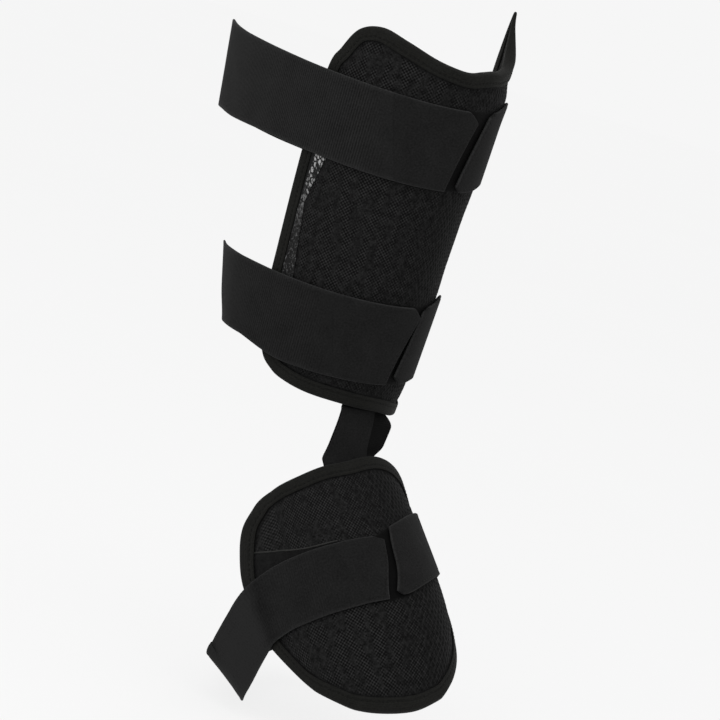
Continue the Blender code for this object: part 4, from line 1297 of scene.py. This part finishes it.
def link_grid(share, foot_share):
    """The link's points: rows along it, columns across, at shares of its width at the hem and at the foot.
    Each row of the gap is a cubic Hermite share of the way between the shin's inside and the foot's, pulled
    towards a turned flat plane in the middle."""
    at_hem = LINK_AT_HEM[0] + share * (LINK_AT_HEM[1] - LINK_AT_HEM[0])
    at_foot = LINK_AT_FOOT[0] + foot_share * (LINK_AT_FOOT[1] - LINK_AT_FOOT[0])
    middle = np.mean(LINK_AT_HEM)
    shin_rise = -SHIN_PADDING - SEAT_GAP - STRAP_THICKNESS
    hem_rise = TAPE_BOTTOM - SEAT_GAP - STRAP_THICKNESS
    foot_rise = -FOOT_PADDING - SEAT_GAP - LINK_TAB_THICKNESS - SEAT_GAP - STRAP_THICKNESS
    hem, entry = -SHIN_HALF_HEIGHT - TAPE_WIDTH / 2, -TAPE_WIDTH / 2
    tucked_rows, gap_rows = LINK_ROWS
    t = np.linspace(1, 0, tucked_rows, endpoint=False)[:, None]
    inside_shin = leg_point(at_hem, hem + t * LINK_TUCK, hem_rise + t * (shin_rise - hem_rise))
    t = np.linspace(0, 1, tucked_rows)[1:, None]
    inside_foot = foot_point(at_foot, entry + t * LINK_TUCK, foot_rise)

    def across_gap(on_shin, on_foot, t):
        top, bottom = leg_point(on_shin, hem, hem_rise), foot_point(on_foot, entry, foot_rise)
        pull = LINK_PULL * np.linalg.norm(bottom - top, axis=-1)[..., None] * FOOT_ALONG
        start = (1 + 2 * t) * (1 - t) ** 2 * top + t * (1 - t) ** 2 * pull
        return start + t * t * (3 - 2 * t) * bottom + t * t * (t - 1) * pull

    t = np.linspace(0, 1, gap_rows)[:, None, None]
    gap = across_gap(at_hem, at_foot, t)
    flatness = (smooth_step(*LINK_FLAT[0], t) * smooth_step(*LINK_FLAT[1], 1 - t))[..., 0]
    flat = across_gap(np.array([middle]), np.array([np.mean(LINK_AT_FOOT)]), t)[..., 1]
    flat = flat + LINK_TURN * (at_hem - middle)
    gap[..., 1] += (flat - gap[..., 1]) * flatness
    return np.concatenate([inside_shin, gap, inside_foot])


def raised(grid, distance):
    """The grid moved along its own normals: the cross product of its two slopes."""
    normal = unit(np.cross(np.gradient(grid, axis=1), np.gradient(grid, axis=0)))
    return grid + distance[..., None] * normal


def soft_slab(name, grid, low, high, material):
    """A sheet on a grid, from one rise to another, whose edges are rounded: the rises close in on each other
    over the last half thickness, as a quarter circle."""
    runs = run_along(grid[:, grid.shape[1] // 2])[:, None], run_along(grid[len(grid) // 2])[None]
    edge = np.minimum(*(np.minimum(run, run.max() - run) for run in runs))
    half = (high - low) / 2
    round_off = half * np.sqrt(1 - (1 - np.clip(edge / half, 0.04, 1)) ** 2)
    outer, inner = (raised(grid, low + half + sign * round_off) for sign in (1, -1))
    return slab(name, outer, inner, material, paired(*runs))


def rounded_edge_places(low, high, count, thickness):
    """Places from low to high with extra ones near both ends, where an edge is rounded."""
    ends = np.array([0.0, 0.12, 0.4, 1.0]) * thickness / 2
    inner = np.linspace(low + thickness, high - thickness, count)
    return np.concatenate([low + ends, inner, high - ends[::-1]])


link_width = LINK_AT_HEM[1] - LINK_AT_HEM[0]
strap_places = rounded_edge_places(0, link_width, 36, STRAP_THICKNESS) / link_width
strap_grid = link_grid(strap_places, strap_places)
link_strap = soft_slab("link_strap", strap_grid, 0.0, STRAP_THICKNESS, link_cloth)
tab_width = (1 - LINK_TAB_FROM[0]) * link_width
tab_places = rounded_edge_places(0, tab_width, 24, LINK_TAB_THICKNESS) / tab_width
tab_shares = (start + tab_places * (1 - start) for start in LINK_TAB_FROM)
tab_low = STRAP_THICKNESS + SEAT_GAP
tab_grid = link_grid(*tab_shares)[LINK_ROWS[0]:]
link_tab = soft_slab("link_tab", tab_grid, tab_low, tab_low + LINK_TAB_THICKNESS, tab_cloth)
link_pieces = (
    # piece, grid, CAD node, slot, what it rests on
    (link_strap, strap_grid, "ankle_link_strap", "elastic_webbing", ["shin_pad", "foot_pad"]),
    (link_tab, tab_grid, "ankle_link_tab", "tab_cloth", ["link_strap"]),
)
for piece, grid, node, slot, below in link_pieces:
    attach(piece, "root")
    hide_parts(node)

# %% [markdown]
# ## The elastic loops
#
# Each loop is a wide elastic whose ends carry cloth tabs. The webbing's section is a thin stadium, which is
# two flat faces and half-round edges, with a slightly thicker woven edge. Carried round the strap's path it
# becomes the band, and a fine wave along the run gives the ribs that stretch webbing shows. A tab is the same
# section, thicker, with a slanted and rounded free end and cut corners.


# %% Strap section and body
SECTION_COLUMNS = 22
RIB_FADE = 24 * MM
RIB_MARGIN = (0.5 * MM, 2.5 * MM)
SEAM_INSET = 2.4 * MM
EDGE_BEAD = (1.0 * MM, 0.55 * MM)
EDGE_GROOVE = (SEAM_INSET, 0.6 * MM)
GROOVE_SHARE = 1.2
UNDERSIDE_SHARE = 0.4
# How far the lighter outermost edge reaches: partly wear, partly a painted highlight.
EDGE_WEAR_AND_HIGHLIGHT_REACH = 0.7 * MM
FLUSH_OVER = (1 * MM, 9 * MM)
CUT_ROUNDING = 1 * MM
STRAP_CREASE = 60.0


def stadium(width, thickness, columns):
    """A strap's section as a ring of (across, rise), from its left edge over the top and back below: two
    flats and two half circles. Point j mirrors point K - j."""
    radius = thickness / 2
    flat = np.linspace(-1, 1, columns) * (width / 2 - radius)
    turn = np.radians([20, 40, 65])
    left = np.column_stack([-(width / 2 - radius) - radius * np.cos(turn), radius * np.sin(turn)])
    top = np.concatenate([left, np.column_stack([flat, np.full(columns, radius)]), left[::-1] * (-1, 1)])
    edges = np.array([[-width / 2, 0.0], [width / 2, 0.0]])
    return np.concatenate([edges[:1], top, edges[1:], (top * (1, -1))[::-1]])


def places_along(start, end, step, rounded, thickness):
    """Stations along a strap: even steps, with extra ones where an end is rounded."""
    extra = np.array([0.1, 0.35, 0.7, 1.0]) * thickness / 2
    places = [np.linspace(start, end, int((end - start) / step) + 1)]
    places += [ones for is_round, ones in zip(rounded, (start + extra, end - extra)) if is_round]
    return np.unique(np.round(np.concatenate(places), 7))


def strap(name, path, base, span, width, thickness, material, step, ends, ribs=0.0, bead=0.0, flush=None,
          painted_light_and_shade=None):
    """A strap body: the stadium section over stations of its path. Each of the two `ends` says whether it is
    rounded, its slant and its bow, and how far along and across its upper and its lower corner are cut, by
    a line that is rounded into the edge. An end moves along by its slant times the place across, and by its
    bow times that and the share across. `ribs` is the height of a cosine wave that fades out towards the
    start. `flush` is the thickness that the far end narrows to, where it meets webbing. A bead and a groove
    follow the two long edges, and the outermost edge is lighter, partly from wear and partly as a painted
    highlight. `painted_light_and_shade`, if given, paints light and shade on the webbing."""
    start, end = span
    rounded = [row[0] for row in ends]
    around = places_along(start, end, step, rounded, thickness)[:, None]
    from_ends = (around - start, end - around)
    across, level = stadium(width, thickness, SECTION_COLUMNS).T
    upper = level > thickness * 0.1
    share = across / (width / 2)
    for (_, _, _, *cuts), apart in zip(ends, from_ends):
        for (reach, deep), weight in zip(cuts, (-(1 + share) / 2, (1 - share) / 2)):
            if reach:
                inside = (np.hypot(reach - apart, CUT_ROUNDING) + reach - apart - 0.1 * MM).clip(0) / 2
                across = across + weight * deep / reach * inside
    local = np.full(around.shape, thickness)
    if flush:
        local = flush + (thickness - flush) * smooth_step(*FLUSH_OVER, end - around)
    level = level / thickness * local
    from_side = nearest = width / 2 - np.abs(across)
    for is_round, apart in zip(rounded, from_ends):
        if is_round:
            level = level * np.sqrt(1 - (1 - np.clip(apart / (thickness / 2), 0.05, 1)) ** 2)
            nearest = np.minimum(nearest, apart)
    plain = 1 - smooth_step(start, start + RIB_FADE, around) if ribs else np.zeros_like(around)
    wave = ribs * np.cos(2 * math.pi * around / RIB_PITCH) * smooth_step(*RIB_MARGIN, from_side) * (1 - plain)
    edge = bead * bell(from_side, *EDGE_BEAD) - GROOVE_SHARE * bead * bell(from_side, *EDGE_GROOVE)
    on_face = np.abs(level) > 0.2 * thickness
    level = level + np.where(upper, 1, -UNDERSIDE_SHARE) * (wave + edge) * on_face
    reach = min(width, end - start)
    leaning = (1 - smooth_step(start, start + reach, around), smooth_step(end - reach, end, around))
    across = np.broadcast_to(across, level.shape)
    turned = around
    for (_, slant, bow, *_), at_end in zip(ends, leaning):
        turned = turned + slant * across * (1 + bow * share) * at_end
    points = path(turned, across, base + local / 2 + level)
    ring = across.shape[1]
    half = ring // 2
    j = np.arange(1, half - 1)
    cap = np.column_stack([j, j + 1, ring - j - 1, ring - j]).tolist()
    cap = np.array([[0, 1, ring - 1, ring - 1]] + cap + [[half - 1, half, half + 1, half + 1]])
    caps = np.concatenate([cap, cap + (len(around) - 1) * ring]).tolist()
    faces = grid_faces(len(around), ring, wrap_columns=True).tolist()
    faces += [list(dict.fromkeys(face)) for face in caps]
    # The lighter outermost edge is partly wear and partly a painted highlight.
    shares = {"edge_wear_and_highlight": bell(nearest, 0, EDGE_WEAR_AND_HIGHLIGHT_REACH), "plain": plain}
    # Painted light and shade on the webbing, where the loop is given them.
    if painted_light_and_shade:
        shares["pale"] = painted_light_and_shade(turned, across)
    return add_piece(name, points, faces, material, paired(turned, across), STRAP_CREASE, shares)


# %% [markdown]
# ### The three loops
#
# A loop is cut into a band and two tabs at the places where the real one is sewn. One function makes them
# all, from the loop's path, its girth, and where its two ends part on the front.

# %% Make the loops
JOIN_GAP = 0.06 * MM
BAND_BEAD = 0.14 * MM
TAB_BEAD = 0.08 * MM
SEAM_POINTS = 40
NO_CUTS = ((0, 0), (0, 0))


def tab_seams(path, rise, width, free_end, inward, length, end):
    """The points and normals of a tab's two seams: one along its lower edge and one along its free end, both
    slanted as the tab is and kept clear of its cut corners."""
    _, slant, bow, upper_cut, lower_cut = end
    low, high = -width / 2 + SEAM_INSET, width / 2 - SEAM_INSET
    run = np.linspace(SEAM_INSET + lower_cut[0], 0.75 * length, SEAM_POINTS)
    up = np.linspace(low + lower_cut[1], high - upper_cut[1], SEAM_POINTS)
    found = []
    for along, across in ((run, np.full(SEAM_POINTS, low)), (np.full(SEAM_POINTS, SEAM_INSET), up)):
        leaning = 1 - smooth_step(0, min(width, length), along)
        around = free_end + inward * along - slant * leaning * across * (1 + bow * across / (width / 2))
        points = path(around, across, rise)
        found.append((points, path(around, across, rise + MM) - points))
    return found


def elastic_loop(name, path, base, half, width, joins, near, far, ribs, webbing, painted_light_and_shade, below):
    """One loop: the band, the near tab and the far tab, each in the place of its CAD node, and the tabs'
    seams. `joins` are where the tabs are sewn to the band. `near` and `far` are the tabs' free ends: place,
    slant, bow, and the cuts of the upper and the lower corner."""
    near_join, far_join = joins[0], 2 * half + joins[1]
    near_free, far_free = near[0], 2 * half + far[0]
    near_end, far_end = ((True, -slant, bow, *cuts) for _, slant, bow, *cuts in (near, far))
    slanted, straight, rounded = ((is_round, lean, 0, *NO_CUTS) for is_round, lean in (
        (False, JOIN_SLANT), (False, 0), (True, 0)))
    band_span = (near_join + JOIN_GAP, far_join - JOIN_GAP)
    band = strap(
        name + "_elastic", path, base, band_span, width, STRAP_THICKNESS, webbing, RIB_PITCH / 4,
        (slanted, straight), ribs, BAND_BEAD, None, painted_light_and_shade,
    )
    near_cloth = strap(
        name + "_near_cloth", path, base, (near_free, near_join), width, TAB_THICKNESS, tab_cloth, 1.0 * MM,
        (near_end, slanted), bead=TAB_BEAD, flush=STRAP_THICKNESS,
    )
    far_cloth = strap(
        name + "_far_cloth", path, base, (far_join, far_free), width, TAB_THICKNESS, tab_cloth, 1.0 * MM,
        (rounded, far_end),
    )
    near_length, far_length = near_join - near_free, far_free - far_join
    pieces = (
        # piece, CAD node's ending, slot, length
        (band, "_band", "elastic_webbing", band_span[1] - band_span[0]),
        (near_cloth, "_near_tab", "tab_cloth", near_length),
        (far_cloth, "_far_tab", "tab_cloth", far_length),
    )
    for piece, ending, slot, length in pieces:
        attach(piece, "root")
        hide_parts(name + ending)
    tops = base + TAB_THICKNESS - 0.15 * MM
    for side, *row in (("near", near_free, 1, near_length, near), ("far", far_free, -1, far_length, far)):
        for number, line in enumerate(tab_seams(path, tops, width, *row)):
            thread = stitches("%s_%s_seam_%d" % (name, side, number), *line, thread_cloth)
            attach(thread, "root")


UPPER_ENDS = (
    # the near and the far tab's free end: place, slant, bow, upper corner's and lower corner's cut
    (5.2 * MM, 0.22, 0.18, (9.7 * MM, 7.5 * MM), (0, 0)),
    (-3 * MM, 0.25, 0.18, (5 * MM, 3 * MM), (5 * MM, 4 * MM)),
)
LOWER_ENDS = (
    (-0.8 * MM, 0.283, 0.26, (10.3 * MM, 7.7 * MM), (0, 0)),
    (-4.8 * MM, 0.175, 0, (5 * MM, 3.5 * MM), (8 * MM, 6 * MM)),
)
FOOT_ENDS = (
    (24.2 * MM, 0.46, 0.40, (9 * MM, 5.5 * MM), (0, 0)),
    (17.3 * MM, 0.53, 0.12, (0, 0), (4 * MM, 4.5 * MM)),
)
loops = (
    # name, path, base rise, half girth, width, joins, two free ends, rib height, webbing, painted light and
    # shade, below
    ("upper_strap", upper_path, SHIN_STRAP_RISE, CALF_HALF_GIRTH, STRAP_WIDTH, LEG_JOINS,
     *UPPER_ENDS, 0.10 * MM, ribbed_webbing, None, "shin_pad"),
    ("lower_strap", lower_path, SHIN_STRAP_RISE, ANKLE_HALF_GIRTH, STRAP_WIDTH, LEG_JOINS,
     *LOWER_ENDS, 0.08 * MM, firm_webbing, None, "shin_pad"),
    ("foot_strap", foot_path, FOOT_STRAP_RISE, FOOT_HALF_GIRTH, FOOT_STRAP_WIDTH, FOOT_JOINS,
     *FOOT_ENDS, 0.05 * MM, smooth_webbing, painted_light_past_shell, "foot_pad"),
)
for loop_row in loops:
    elastic_loop(*loop_row)

# %% [markdown]
# ## The floor and the light
#
# The guard hangs in soft white light over a plain pale ground. The world lights everything evenly, and two
# wide lamps, one at the near side and one above, give the black cloth its soft edges: black cloth shows its
# form by what it reflects, so the lamps are large.

# %% Floor
FLOOR_LEVEL = float(cad_box[0][2]) - 2 * MM
FLOOR_REACH = 30.0
FLOOR_RINGS = 12
FLOOR_SIDES = 48
GROUND_LIGHT = 0.9216
FLOOR_GREY = 0.12
LAMPS_ON_FLOOR = 0.006

ring_radius = np.geomspace(0.3, FLOOR_REACH, FLOOR_RINGS)[:, None]
ring_angle = np.linspace(0, 2 * math.pi, FLOOR_SIDES, endpoint=False)
floor_flat = paired(ring_radius * np.cos(ring_angle), ring_radius * np.sin(ring_angle)).reshape(-1, 2)
floor_points = np.column_stack([floor_flat, np.full(len(floor_flat), FLOOR_LEVEL)])
floor_faces = grid_faces(FLOOR_RINGS, FLOOR_SIDES, wrap_columns=True).tolist() + [list(range(FLOOR_SIDES))]
material, tree, shader, _ = new_cloth("pale_floor", 0.9, 0.0)
cloud = noise(Knot(tree, "TexCoord", out=3), 1.5, 3.0, 0.5)
ground = blended(cloud, grey(FLOOR_GREY * 0.97), grey(FLOOR_GREY * 1.03))
tree.links.new(ground.output, shader.inputs["Base Color"])
shader.inputs["Emission Color"].default_value = grey(1.0)
shader.inputs["Emission Strength"].default_value = GROUND_LIGHT * (1 - FLOOR_GREY) - LAMPS_ON_FLOOR
floor = add_piece("floor", floor_points, floor_faces, material, floor_points[:, :2])

# %% World and lamps
world = bpy.data.worlds.new("studio")
world.use_nodes = True
world.node_tree.nodes["Background"].inputs["Color"].default_value = grey(1.0)
world.node_tree.nodes["Background"].inputs["Strength"].default_value = GROUND_LIGHT
bpy.context.scene.world = world
bpy.context.scene.view_settings.view_transform = "Standard"

lamps = (
    # name, turn from the front, height above the horizon, distance, width, height, watts
    ("key_lamp", 80, 30, 1.6, 1.0, 1.2, 7),
    ("top_lamp", 40, 75, 1.6, 1.2, 1.2, 5),
)
for name, turn, above, distance, width, height, watts in lamps:
    lamp = bpy.data.objects.new(name, bpy.data.lights.new(name, "AREA"))
    lamp.data.shape = "RECTANGLE"
    lamp.data.size, lamp.data.size_y = width, height
    lamp.data.energy = watts
    back = direction(math.radians(turn), math.radians(above))
    right = unit(np.cross([0.0, 0.0, 1.0], back)[None])[0]
    stand(lamp, right, np.cross(back, right), back, view_aim + back * distance)
print("lamps:", [row[0] for row in lamps])
